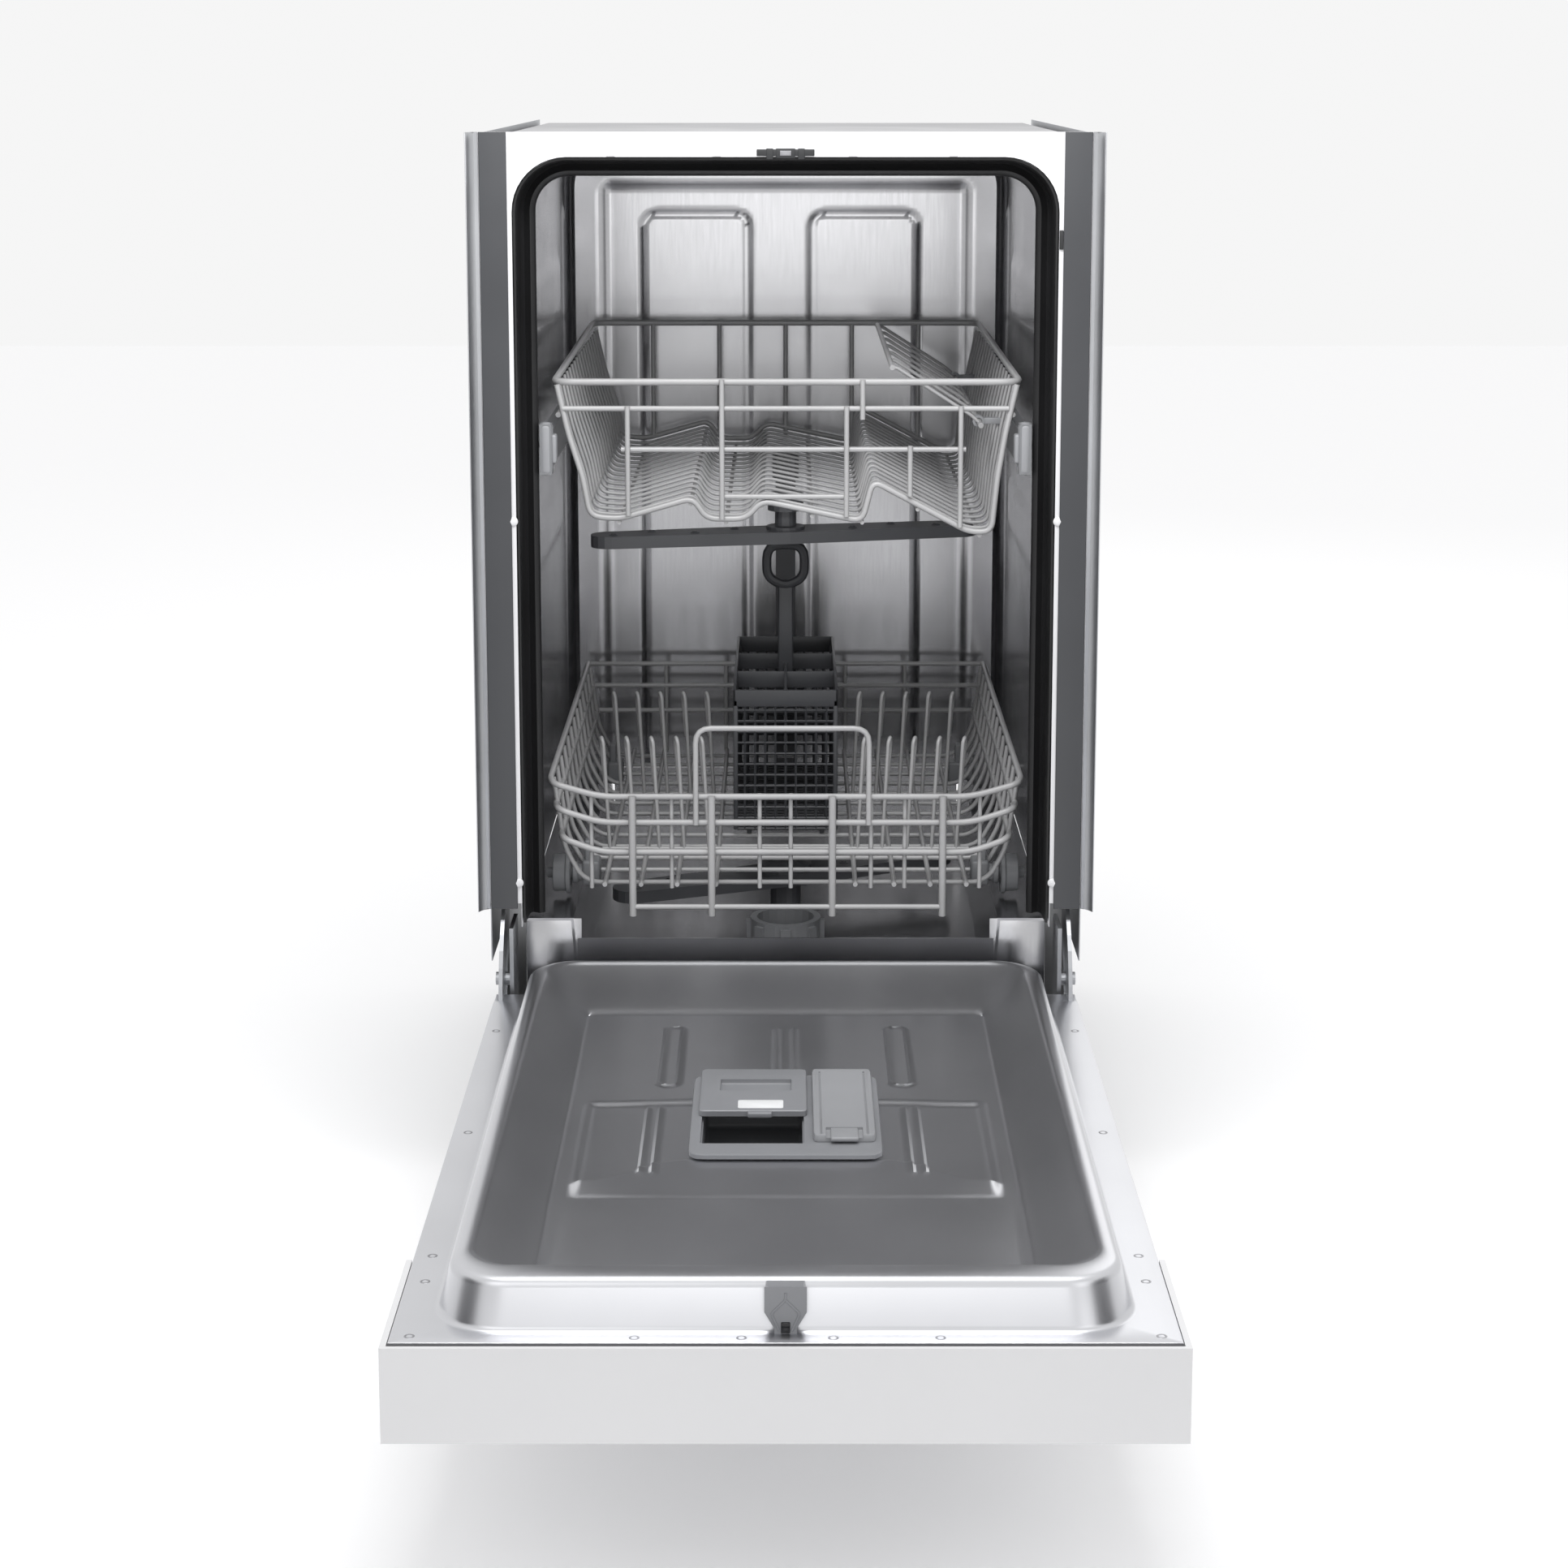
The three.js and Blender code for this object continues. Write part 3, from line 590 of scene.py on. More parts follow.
def bead(x, y, x0, x1, y0, y1, width):
    """Height of a thin raised outline round a slot."""
    radius = (x1 - x0) / 2
    middle = (x0 + x1) / 2
    cy = min(max(y, y0 + radius), y1 - radius)
    away = abs(math.hypot(x - middle, y - cy) - radius)
    return max(0.0, 1 - away / width)


def floor_height(x, y):
    """Height of the well's floor, relative to its level, in millimetres."""
    side = abs(x)
    edge = ease(side, 145, 139) * ease(y, -563, -556) * ease(-y, 74, 80)
    chevron = -401 + 34 * ease(side, 128, 62)
    inside = ease(side, 136, 128)
    front_edge = ease(y, chevron - 3, chevron + 5)
    rear_edge = 1 - ease(y, -258 - 4 * ease(side, 62, 128), -250 - 4 * ease(side, 62, 128))
    band = front_edge * rear_edge * inside
    facet = ease(y, -427, -423) * (1 - front_edge) * inside
    climb = min(max((y + 425) / (chevron + 425), 0), 1)
    height = -2.2 * band + (0.7 + 3.0 * climb) * facet
    height += 1.8 * bead(x, y, -86, -74, -225, -101, 2.6) + 1.8 * bead(x, y, 73, 87, -225, -101, 2.6)
    if -200 < y < -105:
        height += 1.7 * max(0, 1 - abs(side - 6) / 2.6)
    if -398 < y < -256:
        for line in (-92, -84, 80, 88):
            height += 1.8 * max(0, 1 - abs(x - line) / 2.6) * ease(y, -398, -388) * ease(-y, 256, 266)
    front_slope = (1 - ease(y, -556, -425)) * 1.5
    return edge * (height - front_slope)


stack = [
    (220.0, -622.6, -8.4, 165.2, 0), (220.0, -622.6, -8.4, 166.8, 0), (219.4, -622.2, -8.7, 167.0, 0),
    (200.0, -612.0, -9.0, 167.0, 40), (198.2, -610.0, -9.1, 167.25, 39), (196.9, -608.5, -9.3, 168.2, 38),
    (196.0, -607.4, -9.6, 170.0, 37), (191.6, -602.0, -12.0, 190.0, 34), (190.7, -600.8, -12.5, 192.6, 33),
    (189.2, -599.0, -13.0, 194.2, 32), (187.0, -596.6, -13.5, 195.0, 31), (181.5, -583.5, -14.6, 195.0, 27),
    (179.6, -580.4, -15.4, 194.6, 26), (178.1, -578.6, -16.8, 193.6, 25), (176.6, -577.2, -19.0, 192.2, 24),
    (164.0, -569.5, -44.0, 183.4, 20), (151.5, -565.2, -65.0, 176.0, 13), (148.4, -564.0, -69.6, 174.0, 9),
    (146.4, -563.3, -72.4, 172.6, 5), (well_half, well_front, well_rear, well_z, 0),
]
points, faces = stacked([pressed_outline(*level, nx, ny) for level in stack])
rim_start = (len(stack) - 1) * 2 * (nx + ny)
rim_index = {}
for k, (i, j) in enumerate(
    [(i, 0) for i in range(nx)] + [(nx, j) for j in range(ny)]
    + [(i, ny) for i in range(nx, 0, -1)] + [(0, j) for j in range(ny, 0, -1)]
):
    rim_index[i, j] = rim_start + k
index = dict(rim_index)
for i in range(1, nx):
    for j in range(1, ny):
        x = -well_half + 2 * well_half * i / nx
        y = well_front + (well_rear - well_front) * j / ny
        index[i, j] = len(points)
        points.append(spot(x, y, well_z + floor_height(x, y)))
for i in range(nx):
    for j in range(ny):
        faces.append((index[i, j], index[i + 1, j], index[i + 1, j + 1], index[i, j + 1]))


def in_opening(face):
    """The dispenser's window in the well, and the two slots for the hinge arms."""
    centre = sum((points[i] for i in face), Vector()) / 4
    x, y = centre.x / mm, (centre.y - front_y) / mm
    window = abs(x) < 57.5 and -369 < y < -229
    slot = abs(x) > 212.9 and y > -26
    return window or slot


faces = [face for face in faces if not in_opening(face)]
inner_sheet = mesh_object("door_inner_sheet", points, faces)
print("inner sheet faces", len(faces))

# %% [markdown]
# The press leaves a thin sheet, and a solidify modifier gives it 0.8 mm on its hidden side.
# %% Thickness of the inner sheet
edit_whole(inner_sheet, (bpy.ops.mesh.delete_loose, {}))
thicken(inner_sheet, 0.8)
finish(inner_sheet, "door_inner_sheet", door_steel, "door", ["door_inner_panel"], 30, False)

# %% [markdown]
# Fourteen countersunk screws hold the inner sheet to the outer panel and the console. One screw head is made
# from a cylinder with a round recess sunk in its top, and the others are copies of it.
# %% Door screws


def screw_head():
    deselect()
    size = {"vertices": 24, "radius": 3.6 * mm, "depth": 1.2 * mm}
    bpy.ops.mesh.primitive_cylinder_add(**size, location=(0, 0, 0.2 * mm))
    head = bpy.context.object
    bpy.ops.object.mode_set(mode="EDIT")
    bpy.ops.mesh.select_all(action="DESELECT")
    mesh = bmesh.from_edit_mesh(head.data)
    for face in mesh.faces:
        face.select = face.normal.z > 0.9
    bmesh.update_edit_mesh(head.data)
    for inward, upward in ((0.7, 0.5), (1.1, 0), (0.35, -0.9)):
        bpy.ops.mesh.inset(thickness=inward * mm, depth=upward * mm)
    bpy.ops.object.mode_set(mode="OBJECT")
    return round_edges(head, 0.12)


screw_places = [(side * x, y) for side in (-1, 1) for x, y in
                ((211.5, -94), (210, -300), (209.3, -503), (209.2, -540), (209, -614))]
screw_places += [(x, -616) for x in (-84, -24.5, 26.5, 86)]
screw_z = 166.0
first = screw_head()
screws = []
for x, y in screw_places:
    screw = bpy.data.objects.new("screw", first.data.copy())
    scene.collection.objects.link(screw)
    screw.data.transform(Matrix.Translation(spot(x, y, screw_z)))
    screws.append(screw)
bpy.data.objects.remove(first)
finish(join_pieces(screws), "door_screws", screw_steel, "door", (), 30)

# %% [markdown]
# ## Tub shell
# One long sheet is bent into the sides and the roof, and a pressed back closes it. The sheet shines almost
# like a mirror. Shallow ribs in the sides and two round-topped outlines in the back make the sheets stiff.
# %% Tub sides and roof
tub_half, tub_top, tub_back, tub_foot, tub_corner = 200.0, 797.0, 527.0, 216.5, 40.0
sheet_front, back_bend = 3.4, 20


def doorway(half, foot, top, corner, straight, bend):
    """Places (x, z) along an upright doorway from its left foot to its right foot."""
    side = [(-half, foot + (top - corner - foot) * i / straight) for i in range(straight)]
    left = [(corner - half - corner * math.cos(a), top - corner + corner * math.sin(a))
            for a in [math.pi / 2 * i / bend for i in range(bend + 1)]]
    roof = [(corner - half + (2 * half - 2 * corner) * i / straight, top) for i in range(1, straight)]
    right = [(-x, z) for x, z in reversed(left)]
    return side + left + roof + right + [(-x, z) for x, z in reversed(side)]


def side_rib(y, z):
    """Depth of the pressed ribs of the side walls."""
    deep = 0.0
    for low, high in ((455, 505), (640, 700)):
        upright = ease(z, low, low + 8) * ease(-z, -high, -high + 8)
        deep = max(deep, upright * ease(y, 90, 100) * ease(-y, -440, -430))
    for middle in (40, 495):
        deep = max(deep, max(0, 1 - abs(y - middle) / 5) * ease(z, 260, 275) * ease(-z, -745, -730))
    return 2.2 * deep


rows = [sheet_front + (tub_back - back_bend - sheet_front) * i / 130 for i in range(131)]
rows += [tub_back - back_bend + back_bend * math.sin(a) for a in [math.pi / 2 * i / 8 for i in range(1, 9)]]
points, faces = [], []
for y in rows:
    inset = back_bend - math.sqrt(max(back_bend ** 2 - max(y - (tub_back - back_bend), 0) ** 2, 0))
    for x, z in doorway(tub_half - inset, tub_foot, tub_top - inset, tub_corner - inset * 0.6, 90, 12):
        push = side_rib(y, z) if abs(x) > 199 else 0
        points.append(spot(x - math.copysign(push, x), y, z))
count = len(points) // len(rows)
for k in range(len(rows) - 1):
    for i in range(count - 1):
        faces.append((k * count + i, (k + 1) * count + i, (k + 1) * count + i + 1, k * count + i + 1))
tub_shell = mesh_object("tub_shell", points, faces)
thicken(tub_shell, 0.7)
finish(tub_shell, "tub_shell", tub_steel, "cabinet", ["tub_left_wall", "tub_right_wall"], 30)

# %% [markdown]
# The back is a fine grid. Its points step back inside two round-topped outlines, and a soft groove runs round
# each of them.
# %% Tub back
columns, levels = 124, 190
points, faces = [], []


def back_step(x, z):
    depth = 0.0
    for left, right in ((-129, -34), (24, 120)):
        radius = 12
        top = 730
        cx = min(max(x, left + radius), right - radius)
        cz = min(z, top - radius)
        away = radius - math.hypot(x - cx, z - cz)
        depth = max(depth, 2.4 * max(0, 1 - abs(away) / 3.0))
        depth = max(depth, 0.9 * ease(away, 0, 2.5))
    frame_edge = ease(abs(x), 160, 170) + ease(z, 751, 760)
    return depth - 3.0 * min(frame_edge, 1)


for j in range(levels + 1):
    for i in range(columns + 1):
        x = -196 + 392 * i / columns
        z = tub_foot + (tub_top - 4 - tub_foot) * j / levels
        points.append(spot(x, tub_back + back_step(x, z) - 0.4, z))
for j in range(levels):
    for i in range(columns):
        k = j * (columns + 1) + i
        faces.append((k, k + 1, k + columns + 2, k + columns + 1))
tub_rear = mesh_object("tub_rear", points, faces)
thicken(tub_rear, 0.7)
finish(tub_rear, "tub_rear", tub_steel, "cabinet", ["tub_back_wall"], 40)

# %% [markdown]
# ## Gasket
# The rubber seal is one long moulding. Its section has a hollow bulb and two folds, and it follows the round
# corners of the opening.
# %% Gasket
gasket_section = [
    (0.2, 4.2), (0.2, 29), (0.6, 43), (2.0, 44), (6.0, 43.6), (10.5, 41.0), (13.6, 37.0), (14.4, 34.0),
    (13.4, 31.2), (10.4, 29.6), (8.2, 31.6), (5.6, 33.2), (3.6, 31.0), (3.2, 27), (2.2, 20), (2.9, 15),
    (2.0, 11), (2.6, 7), (1.8, 4.2),
]
path = [doorway(199.5 - inset, tub_foot + 3, 796.5 - inset, max(40 - inset, 6), 12, 14)
        for inset, _ in gasket_section]
points = [spot(x, y, z) for line, (_, y) in zip(path, gasket_section) for x, z in line]
count, turns = len(path[0]), len(gasket_section)
faces = []
for k in range(turns):
    for i in range(count - 1):
        n = (k + 1) % turns
        faces.append((k * count + i, n * count + i, n * count + i + 1, k * count + i + 1))
for end in (0, count - 1):
    faces.append(tuple(k * count + end for k in range(turns)))
gasket = mesh_object("gasket_seal", points, faces)
finish(gasket, "gasket_seal", seal_black, "cabinet", ["tub_gasket"], 50)

# %% [markdown]
# ## Side strips
# Each strip closes the gap to the kitchen units. It has a flat dark face and, past a fine groove, a bright
# metal lip that curls back at the outside. Each section is drawn flat, then drawn out along the machine's
# height.
# %% Side strips
face_section = [(203, -0.3), (203, -1.2), (203.4, -1.5), (222.6, -1.5), (223.1, -1.1), (223.1, -0.3)]
lip_section = [
    (223.5, -0.4), (223.5, -1.3), (223.9, -1.6), (226, -1.9), (228.2, -3.2), (230.2, -5.4), (231.6, -8.0),
    (232.3, -9.4), (231.6, -9.6), (230.4, -7.0), (228.8, -4.6), (226.8, -2.6), (225, -0.9),
]


def drawn_strip(section, side):
    """A closed section drawn out from the strip's foot to the top of the machine."""
    turns = len(section)
    points = [spot(side * x, y, z) for z in (232, 815) for x, y in section]
    faces = [(i, (i + 1) % turns, turns + (i + 1) % turns, turns + i) for i in range(turns)]
    ends = [tuple(range(turns)), tuple(range(turns, 2 * turns))]
    return round_edges(mesh_object("side_strip", points, faces + ends), 0.12)


for name, side in left_right:
    face = drawn_strip(face_section, side)
    finish(face, f"side_strip_{name}", strip_grey, "cabinet", [f"trim_strip_{name}"], 25)
    finish(drawn_strip(lip_section, side), f"strip_lip_{name}", lip_steel, "cabinet")

# %% [markdown]
# ## Upper rack
# The rack is welded from steel wire and then dipped in nylon, so its wires are smooth, round and a little
# thicker than bare steel. Each cross wire is one long bend: down from the rim, over the stepped floor, and up
# again. Only the front frame is heavier.
# %% Upper rack wires
floor_line = [
    (-153, 555), (-148, 526), (-126, 524), (-70, 540), (-60, 524), (-30, 524), (-18, 538), (58, 522),
    (66, 553), (139, 514), (156, 514), (160, 555),
]


def cross_wire(y, lift=0.0):
    rim = [(-172, y, 626), (-164, y, 590)]
    other = [(166, y, 590), (174, y, 626)]
    return rim + [(x, y, z + lift) for x, z in floor_line] + other


front, back = 46, 500
cross = [cross_wire(66 + 26.6 * i) for i in range(17)]
lengthwise = [[(x, front, z - 3), (x, back, z - 3)] for x, z in (
    (-150, 536), (-126, 524), (-72, 538), (-45, 524), (-18, 536),
    (20, 529), (58, 524), (100, 534), (147, 514),
)]
rim_loop = [(-174, front, 628), (176, front, 628), (174, back, 633), (-174, back, 633)]
upper_front = [
    [(-168, front - 1, 608), (168, front - 1, 608)],
    [(-124, front - 1, 577), (136, front - 1, 577)],
    [(-48, front - 1, 541), (46, front - 1, 541)],
]
uprights = [[(x, front - 3.4, low), (x, front - 3.4, high)] for x, low, high in (
    (-119, 527, 610), (-48, 524, 630), (46, 526, 610), (58, 600, 630), (94, 542, 580), (132, 518, 610),
)]
rear_posts = [[(x, back, 530), (x, back, 632)] for x in (-120, -60, 0, 60, 120)]
rails_side = [[(side * 172, front + 10, 602), (side * 172, back - 8, 602)] for side in (-1, 1)]
upper_wires = wires("upper_rack_wires", [
    (2.7, 14, True, [rim_loop]),
    (2.3, 8, False, [cross_wire(front, 0), cross_wire(back, 4)]),
    (1.35, 7, False, cross),
    (1.6, 4, False, lengthwise),
    (2.1, 5, False, upper_front + rails_side),
    (2.0, 5, False, uprights + rear_posts),
])
finish(upper_wires, "upper_rack_wires", rack_grey, "upper_rack",
       ["upper_rack_floor", "upper_rack_walls"], 50, False)

# %% [markdown]
# The folding shelf for cups is a comb of short wires between two long ones.
# %% Cup shelf
hinge_line, edge_line = (150, 590), (82, 634)
combs = [[(hinge_line[0], y, hinge_line[1]), (hinge_line[0] - 6, y, hinge_line[1] + 6),
          (edge_line[0] + 4, y, edge_line[1] - 1), (edge_line[0], y, edge_line[1] - 1)]
         for y in [100 + 60 * i for i in range(7)]]
shelf = wires("cup_shelf_wires", [
    (2.2, 4, False, [[(150, 87, 590), (150, 473, 590)], [(82, 93, 634), (82, 467, 634)]]),
    (1.4, 5, False, combs),
])
finish(shelf, "cup_shelf_wires", rack_grey, "cup_flap", ["cup_shelf"], 50, False)

# %% [markdown]
# The shelf turns in two clips. Each clip is a ring round the hinge wire, with a short arm that grips one of
# the rack's cross wires. The ring is a little wider than the wire, so the shelf can turn.
# %% Cup shelf clips
ring_section = [(2.6, -4), (4.6, -4), (4.6, 4), (2.6, 4), (2.6, -4)]
shelf_clips = []
for y in (66 + 26.6 * 2, 66 + 26.6 * 14):
    shelf_clips.append(turned("ring", ring_section, (150, y, 590), (0, 1, 0), 32))
    shelf_clips.append(moulded_box("arm", (154.2, 168), (y - 3.5, y + 3.5), (587.5, 592.5), 0.8, 2))
finish(join_pieces(shelf_clips), "shelf_clips", pale_grey, "upper_rack")

# %% [markdown]
# ## Lower rack
# Three rails run round the rack. At the front corners each rail kicks outward and upward before it turns
# back. Heavy posts carry the front, and a raised handle is welded to the top rail.
# %% Lower rack wires


def kicked_rail(z, half, inner=143, lift=11):
    side = half + 6
    return [(-side, back, z + lift), (-side, front + 14, z + lift), (-side + 4, front, z + lift - 1),
            (-inner, front, z), (inner, front, z), (side - 4, front, z + lift - 1),
            (side, front + 14, z + lift), (side, back, z + lift)]


rails = [kicked_rail(307.5, 176), kicked_rail(287, 172), kicked_rail(263.5, 168)]
rear_rails = [[(-half, back, z), (half, back, z)] for half, z in ((182, 318.5), (178, 298), (174, 274.5))]
cross = [[(-180, y, 318), (-172, y, 262), (-160, y, 240), (-150, y, 234), (150, y, 234), (160, y, 240),
          (172, y, 262), (180, y, 318)] for y in [66 + 35.2 * i for i in range(13)]]
grid = [[(x, 48, 237), (x, 498, 237)] for x in (-140, -112, -84, -54, 54, 84, 112, 140)]
heavy = [[(x, front - 4.4, 214), (x, front - 4.4, 309)] for x in (-118, -57, 36, 121)]
thin_posts = [[(x, front + 3.6, 234), (x, front + 3.6, 309)] for x in (-150, -88, -20, 4, 66, 92, 150)]
thin_posts += [[(x, back, 236), (x, back, 319)] for x in (-110, -55, 0, 55, 110)]
handle = [[(-69, front - 3, 286), (-69, front - 3, 362), (64, front - 3, 362), (64, front - 3, 286)]]
lower_wires = wires("lower_rack_wires", [
    (2.5, 12, False, rails),
    (2.2, 6, False, rear_rails + [[(-118, front - 4.4, 221), (121, front - 4.4, 221)]]),
    (1.9, 10, False, cross + grid),
    (2.9, 3, False, heavy),
    (1.7, 3, False, thin_posts),
    (2.2, 12, False, handle),
])
finish(lower_wires, "lower_rack_wires", rack_grey, "lower_rack",
       ["lower_rack_floor", "lower_rack_walls"], 50, False)

# %% [markdown]
# Plates lean between thin tines. Each tine is a hairpin that rises from the comb's foot wire.
# %% Tines
for name, y in (("front", 150), ("back", 320)):
    pins = []
    for i in range(5):
        for side, base in ((-1, 62), (1, 58)):
            x = side * (base + 20 * i)
            pins.append([(x, y, 238), (x + side * 4.6, y, 326), (x + side * 6.5, y + 4, 330),
                         (x + side * 6.6, y + 8, 322), (x + side * 4, y + 8, 290)])
    comb = wires("tines", [(1.8, 3, False, [[(-148, y, 238), (148, y, 238)]]), (1.6, 3, False, pins)])
    finish(comb, f"tines_{name}", rack_grey, "lower_rack", [f"tine_row_{name}"], 50, False)

# %% [markdown]
# ## Wheels and their clips
# Each wheel is one moulding: a wide tread outside, a thin flange inside that keeps it on the door's rim, and
# a hub. It turns on a clip that grips the rack's side wires.
# %% Wheels
tyre = [
    (4.6, -7), (6.4, -7), (7.0, -6.2), (11.2, -6.2), (11.8, -7), (13.6, -7), (14.5, -6.2), (14.6, 2.6),
    (15.2, 3.0), (16.0, 3.2), (16.5, 3.8), (16.5, 6.2), (15.9, 6.9), (11.0, 6.9), (10.4, 6.0), (6.8, 6.0),
    (6.2, 6.9), (4.6, 6.9), (4.6, -7),
]
stub = [
    (0, -12), (3.6, -12), (4.2, -11), (4.2, 7.5), (7.6, 8),
    (8.6, 9), (8.6, 12), (6.6, 13.5), (6.6, 20), (0, 20),
]
clip_parts = []
for end, y in (("front", 90), ("back", 420)):
    for side_name, side in left_right:
        name = f"wheel_{end}_{side_name}"
        shape = turned(name, tyre, (side * 176, y, 235), (-side, 0, 0))
        finish(shape, f"{name}_tyre", wheel_grey, name, [name])
        clip_parts.append(turned("clip", stub, (side * 176, y, 235), (-side, 0, 0), 32))
        xs = sorted((side * 146, side * 160))
        clip_parts.append(moulded_box("clip", xs, (y - 8, y + 13), (226, 246), 2.4))
        xs = sorted((side * 152, side * 158))
        clip_parts.append(moulded_box("clip", xs, (y - 5, y + 5), (240, 262), 1.6))
finish(join_pieces(clip_parts), "wheel_clips", wheel_grey, "lower_rack")

# %% [markdown]
# ## Cutlery basket
# The basket is a cage of fine moulded bars under a solid rim, so that water passes freely. Each wall starts
# as a plain grid, and a wireframe modifier turns the grid's edges into bars.
# %% Cutlery basket


def lattice(xs, ys, zs, cells, thickness=1.9):
    """A flat grid wall between two corners; one of the three spans is zero."""
    low, high = spot(xs[0], ys[0], zs[0]), spot(xs[1], ys[1], zs[1])
    deselect()
    flat = [axis for axis in range(3) if abs(high[axis] - low[axis]) < 1e-6][0]
    turn = {0: (0, math.pi / 2, 0), 1: (math.pi / 2, 0, 0), 2: (0, 0, 0)}[flat]
    bpy.ops.mesh.primitive_grid_add(x_subdivisions=cells[0], y_subdivisions=cells[1], size=1, rotation=turn)
    wall = bpy.context.object
    settle()
    span = high - low
    span[flat] = 1
    wall.scale = span
    wall.location = (low + high) / 2
    settle()
    bars = wall.modifiers.new("bars", "WIREFRAME")
    bars.thickness = thickness * mm
    apply_all(wall)
    return wall


parts = []
for x in (-42, 42):
    parts.append(lattice((x, x), (201, 429), (241, 350), (12, 26)))
for y in (201, 276.5, 353, 429):
    parts.append(lattice((-42, 42), (y, y), (241, 350), (10, 12)))
parts.append(lattice((0, 0), (201, 429), (241, 346), (12, 26)))
parts.append(lattice((-42, 42), (201, 429), (241, 241), (10, 26), 2.2))
for xs, ys in (
    ((-43, 43), (200, 203)), ((-43, 43), (427, 430)), ((-43, -40.5), (200, 430)), ((40.5, 43), (200, 430)),
    ((-1.2, 1.2), (202, 428)), ((-42, 42), (275.5, 278)), ((-42, 42), (351.5, 354)),
):
    parts.append(moulded_box("rim", xs, ys, (344, 358), 0.9, 2))
for ys in ((200, 204), (426, 430)):
    for xs in ((-43, -39), (39, 43)):
        parts.append(moulded_box("corner", xs, ys, (240, 350), 1.1, 2))
for x in (-30, 30):
    parts.append(moulded_box("runner", (x - 2, x + 2), (204, 424), (235.9, 241.5), 0.8, 2))
parts.append(moulded_box("stem", (-6.5, 6.5), (312.5, 317.5), (338, 430), 1.6))
loop = [(0, 315, 424), (-16, 315, 432), (-16, 315, 460), (16, 315, 460), (16, 315, 432)]
parts.append(wires("loop", [(4.2, 12, True, [loop])], 3))
finish(join_pieces(parts), "basket_cage", basket_grey, "lower_rack", ["cutlery_basket"])

# %% [markdown]
# ## Dispenser
# The dispenser's plate has round corners and a soft rim. The open chamber is cut out of plate and body, the
# sliding lid has a grip recess, and the rinse-aid lid has two grooves and a springy tab.
# %% Dispenser


def cut_with(piece, cutters):
    for cutter in cutters:
        hole = piece.modifiers.new("hole", "BOOLEAN")
        hole.operation = "DIFFERENCE"
        hole.solver = "EXACT"
        hole.object = cutter
    apply_all(piece)
    for cutter in cutters:
        bpy.data.objects.remove(cutter)
    return piece


def rounded_plate(name, half_x, centre_x, ys, levels, corner):
    """A plate with round corners: levels are (inset, height) pairs from its underside up."""
    outlines = [pressed_outline(half_x - inset, ys[0] + inset, ys[1] - inset, z, corner - inset, 24, 24)
                for inset, z in levels]
    points, faces = stacked(outlines)
    count = len(outlines[0])
    faces.append(tuple(range(count))[::-1])
    faces.append(tuple(range(len(points) - count, len(points))))
    points = [p + Vector((centre_x * mm, 0, 0)) for p in points]
    return mesh_object(name, points, faces)


plate_levels = [(0.4, 176.4), (0, 176.8), (0, 179.2), (0.5, 179.9), (1.4, 180.1)]
plate = rounded_plate("plate", 62, 0, (-373, -225), plate_levels, 9)
plate = cut_with(plate, [moulded_box("cut", (-55, 12), (-354, -240), (170, 190), 1.5)])
body = moulded_box("body", (-58, 58), (-369, -229), (142, 176.6), 2)
body = cut_with(body, [moulded_box("cut", (-54, 11), (-353, -241), (148, 190), 3)])
finish(join_pieces([plate, body]), "dispenser_body", mid_grey, "door", ["dispenser"])

lid = rounded_plate("lid", 35.5, -21.5, (-306, -225), [(0, 180.4), (0, 183.8), (0.4, 184.3), (1, 184.5)], 3)
lid = cut_with(lid, [moulded_box("cut", (-44, 4), (-268, -246), (181.2, 190), 1)])
grip = moulded_box("grip", (-25, -9), (-310, -304), (180.6, 184.2), 1)
finish(join_pieces([lid, grip]), "lid_plate", mid_grey, "detergent_slide", ["detergent_lid"])
label = rounded_plate("label", 15, -16.5, (-302, -287), [(0, 184.45), (0, 184.75), (0.1, 184.8)], 1.5)
finish(label, "lid_label", label_white, "detergent_slide")

cap = rounded_plate("cap", 20, 38, (-352, -226), [(0, 180.4), (0, 184.2), (0.4, 184.8), (1, 185)], 3)
grooves = [moulded_box("cut", (x - 0.7, x + 0.7), (-350, -232), (184, 190), 0.2) for x in (23, 53)]
cap = cut_with(cap, grooves + [moulded_box("cut", (26, 50), (-353, -338), (183, 190), 0.4)])
tab = moulded_box("tab", (29, 47), (-356, -336), (181.6, 184.6), 1.2)
finish(join_pieces([cap, tab]), "cap_plate", pale_grey, "rinse_flap", ["rinse_lid"])

# %% [markdown]
# The latch receiver sits in the front of the ring. Two ribs run down from its top and guide the hook to the
# mouth at its narrow foot, where a thin black box in front of the block is painted shade for the opening.
# %% Latch receiver
right_side = [(11, 194), (11, 180), (5.5, 170.5), (5.5, 167.5)]
outline = [(-11, 194)] + right_side + [(-x, z) for x, z in right_side[:0:-1]]
points = [spot(x, y, z) for y in (-611.2, -600) for x, z in outline]
faces = [(i, (i + 1) % 8, 8 + (i + 1) % 8, 8 + i) for i in range(8)] + [tuple(range(8)), tuple(range(8, 16))]
block = round_edges(mesh_object("block", points, faces), 0.8, 3)
rib_y = -611.1
ribs = wires("ribs", [(0.8, 2, False, [
    [(0, rib_y, 191), (0, rib_y, 187), (-8, rib_y, 179), (-3.6, rib_y, 169)],
    [(0, rib_y, 187), (8, rib_y, 179), (3.6, rib_y, 169)],
])])
# A thin black box at the receiver's foot: painted shade standing in for the mouth's opening.
mouth = moulded_box("mouth", (-2.6, 2.6), (-611.9, -609), (167.4, 174), 0.5, 2)
finish(mouth, "latch_mouth_shade", window_black_and_hole_shade, "door")
finish(join_pieces([block, ribs]), "latch_block", mid_grey, "door", ["latch_housing"])

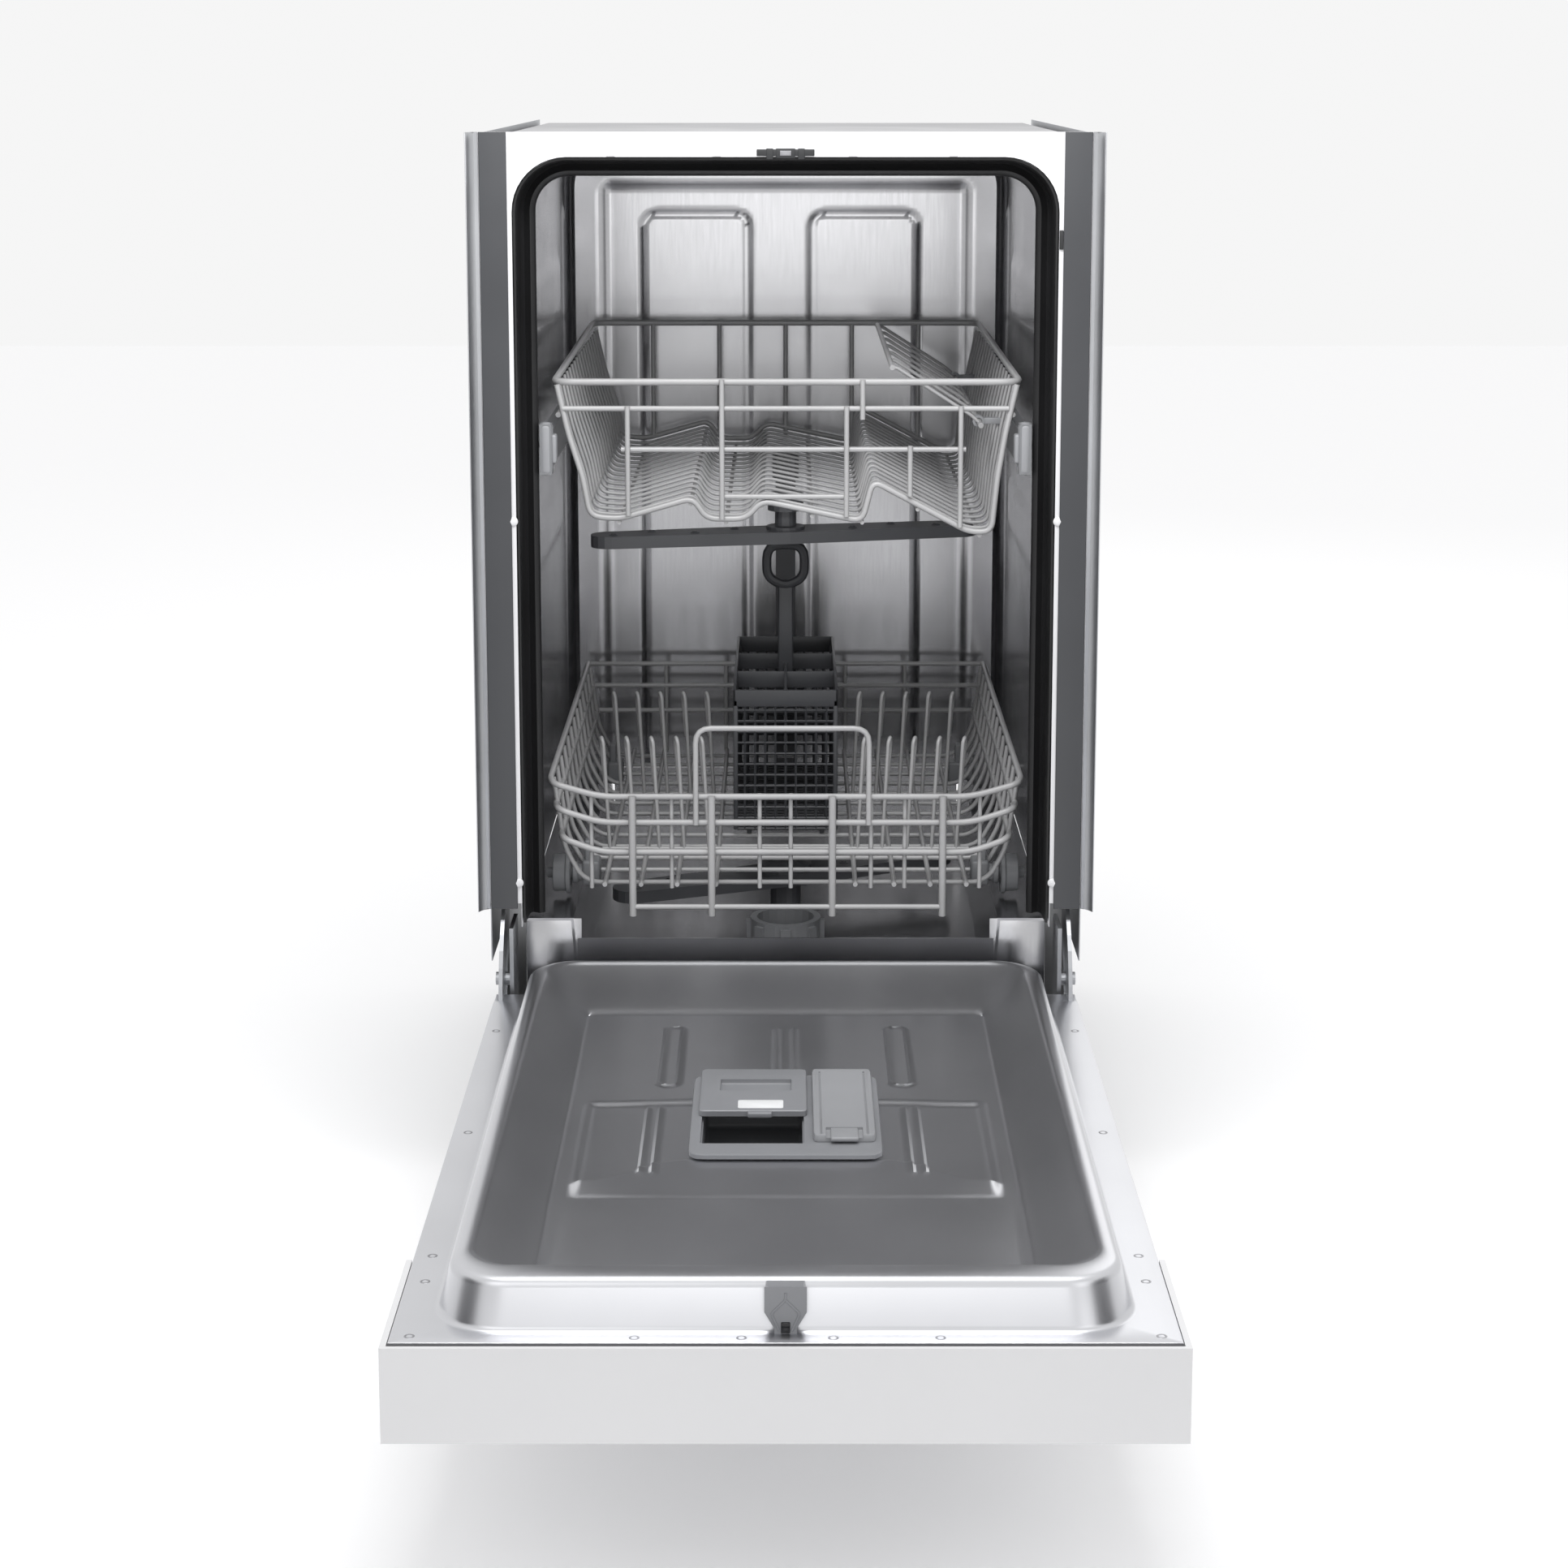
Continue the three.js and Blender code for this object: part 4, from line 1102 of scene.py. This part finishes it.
# %% [markdown]
# The strike at the top of the frame is a black block with a bright plate in its middle. Small white studs
# stand on both sides of the opening, and four clips hold the gasket along its top.
# %% Strike and studs
strike = join_pieces([moulded_box("strike", *spans) for spans in (
    ((-21, 21), (-1.5, -0.2), (797.8, 802.6), 0.5),
    ((-14, -9), (-1.75, -0.2), (795.2, 803.2), 0.5),
    ((9, 14), (-1.75, -0.2), (795.2, 803.2), 0.5),
    ((-7, 7), (-1.7, -0.2), (796, 803.2), 0.5),
    ((199.9, 202.8), (-1.6, -0.1), (730, 744), 0.4, 2),
)])
finish(strike, "strike_block", base_black, "cabinet", ["latch_strike"])
plate = moulded_box("strike_plate", (-4, 4), (-1.85, -1.5), (798, 801.5), 0.1)
finish(plate, "strike_plate", screw_steel, "cabinet")
dome = [(0, 1.6), (1.6, 1.5), (2.8, 1.2), (3.5, 0.6), (3.6, 0)]
studs = [turned("stud", dome, (side * 202.0, -0.1, z), (0, -1, 0), 24)
         for side in (-1, 1) for z in (529, 252)]
clips = [moulded_box("clip", (x - 3, x + 3), (-1.2, -0.1), (797.4, 800.2), 0.4) for x in (-127, -50, 49, 122)]
finish(join_pieces(studs + clips), "gasket_clips", frame_white, "cabinet")

# %% [markdown]
# Under each side ledge of the tub's floor a steel skirt closes the gap down to the base. On the rack's rails,
# a rounded stop caps the front end.
# %% Skirts and rail stops
skirts = [moulded_box("skirt", sorted((side * 199.6, side * 156.8)), (28.2, 29.4), (140, 215.8), 0.5, 2)
          for side in (-1, 1)]
finish(join_pieces(skirts), "floor_skirts", tub_steel, "cabinet", (), 40)
stops = []
for side in (-1, 1):
    stops.append(moulded_box("stop", sorted((side * 174.5, side * 184.5)), (27.4, 41), (559, 599), 4.2, 4))
    stops.append(moulded_box("stop", sorted((side * 171.5, side * 176)), (30, 41), (568, 590), 1.8))
finish(join_pieces(stops), "rail_stops", pale_grey, "upper_rack", (), 40)

# %% [markdown]
# ## Side panels
# A flat zinc-coated sheet would drum, so each side panel has three long pressed ribs. The lower front corner
# is cut away for the kitchen's plinth.
# %% Side panels


def panel_depth(y, z):
    depth = 0.0
    for low, high in ((150, 240), (280, 370), (410, 500)):
        inside = ease(y, low, low + 7) * ease(-y, -high, 7 - high) * ease(z, 250, 257) * ease(-z, -740, -733)
        depth = max(depth, inside)
    return 2.2 * depth


for name, side in left_right:
    across = [2.5 + (110 - 2.5) * i / 12 for i in range(12)] + [110 + 433 * i / 104 for i in range(105)]
    up = [62 + 128 * j / 10 for j in range(10)] + [190 + 624 * j / 150 for j in range(151)]
    points = [spot(side * (224 - panel_depth(y, z)), y, z) for z in up for y in across]
    wide = len(across)
    faces = []
    for j in range(len(up) - 1):
        for i in range(wide - 1):
            if across[i] < 109 and up[j] < 189:
                continue
            k = j * wide + i
            face = (k, k + 1, k + wide + 1, k + wide)
            faces.append(face if side < 0 else face[::-1])
    panel = mesh_object("side_panel", points, faces)
    edit_whole(panel, (bpy.ops.mesh.delete_loose, {}), face_outward)
    thicken(panel, 0.8, 0)
    panel.data.transform(Matrix.Translation((-side * 0.4 * mm, 0, 0)))
    finish(panel, f"side_sheet_{name}", zinc_steel, "cabinet", [f"side_panel_{name}"])

# %% [markdown]
# ## Spray arms
# Water leaves the arms through slots on raised pads. Each pad is a flattened dome, and a thin black box on
# its top is painted shade in place of the slot's opening.
# %% Nozzles
pad_profile = [(0, 1.1), (2.2, 1.0), (3.6, 0.5), (4.4, -0.4), (0, -0.5)]
arm_axis_y = 270
for node, body, degrees, z, reach in (
    ("lower_spray_arm", "lower_arm", 24, 188, (-138, -104, -70, -38, 52, 88, 122, 142)),
    ("upper_spray_arm", "upper_arm", 12, 481, (-146, -112, -78, -42, 56, 92, 128, 150)),
):
    turn = math.radians(degrees)
    pads, slots = [], []
    for k, r in enumerate(reach):
        off = 7 if k % 2 else -6
        x = r * math.cos(turn) - off * math.sin(turn)
        y = arm_axis_y + r * math.sin(turn) + off * math.cos(turn)
        pads.append(turned("pad", pad_profile, (x, y, z), (0, 0, 1), 20))
        # A thin black box on the pad's top: painted shade where the slot opens.
        across, along = (x - 2.2, x + 2.2), (y - 0.55, y + 0.55)
        slots.append(moulded_box("slot", across, along, (z + 0.9, z + 1.35), 0.15, 1))
    finish(join_pieces(pads), f"{node}_pads", arm_grey, body, (), 45)
    # These black boxes are painted shade for the slot openings, not a black part.
    finish(join_pieces(slots), f"{node}_slots", window_black_and_hole_shade, body, (), 45)
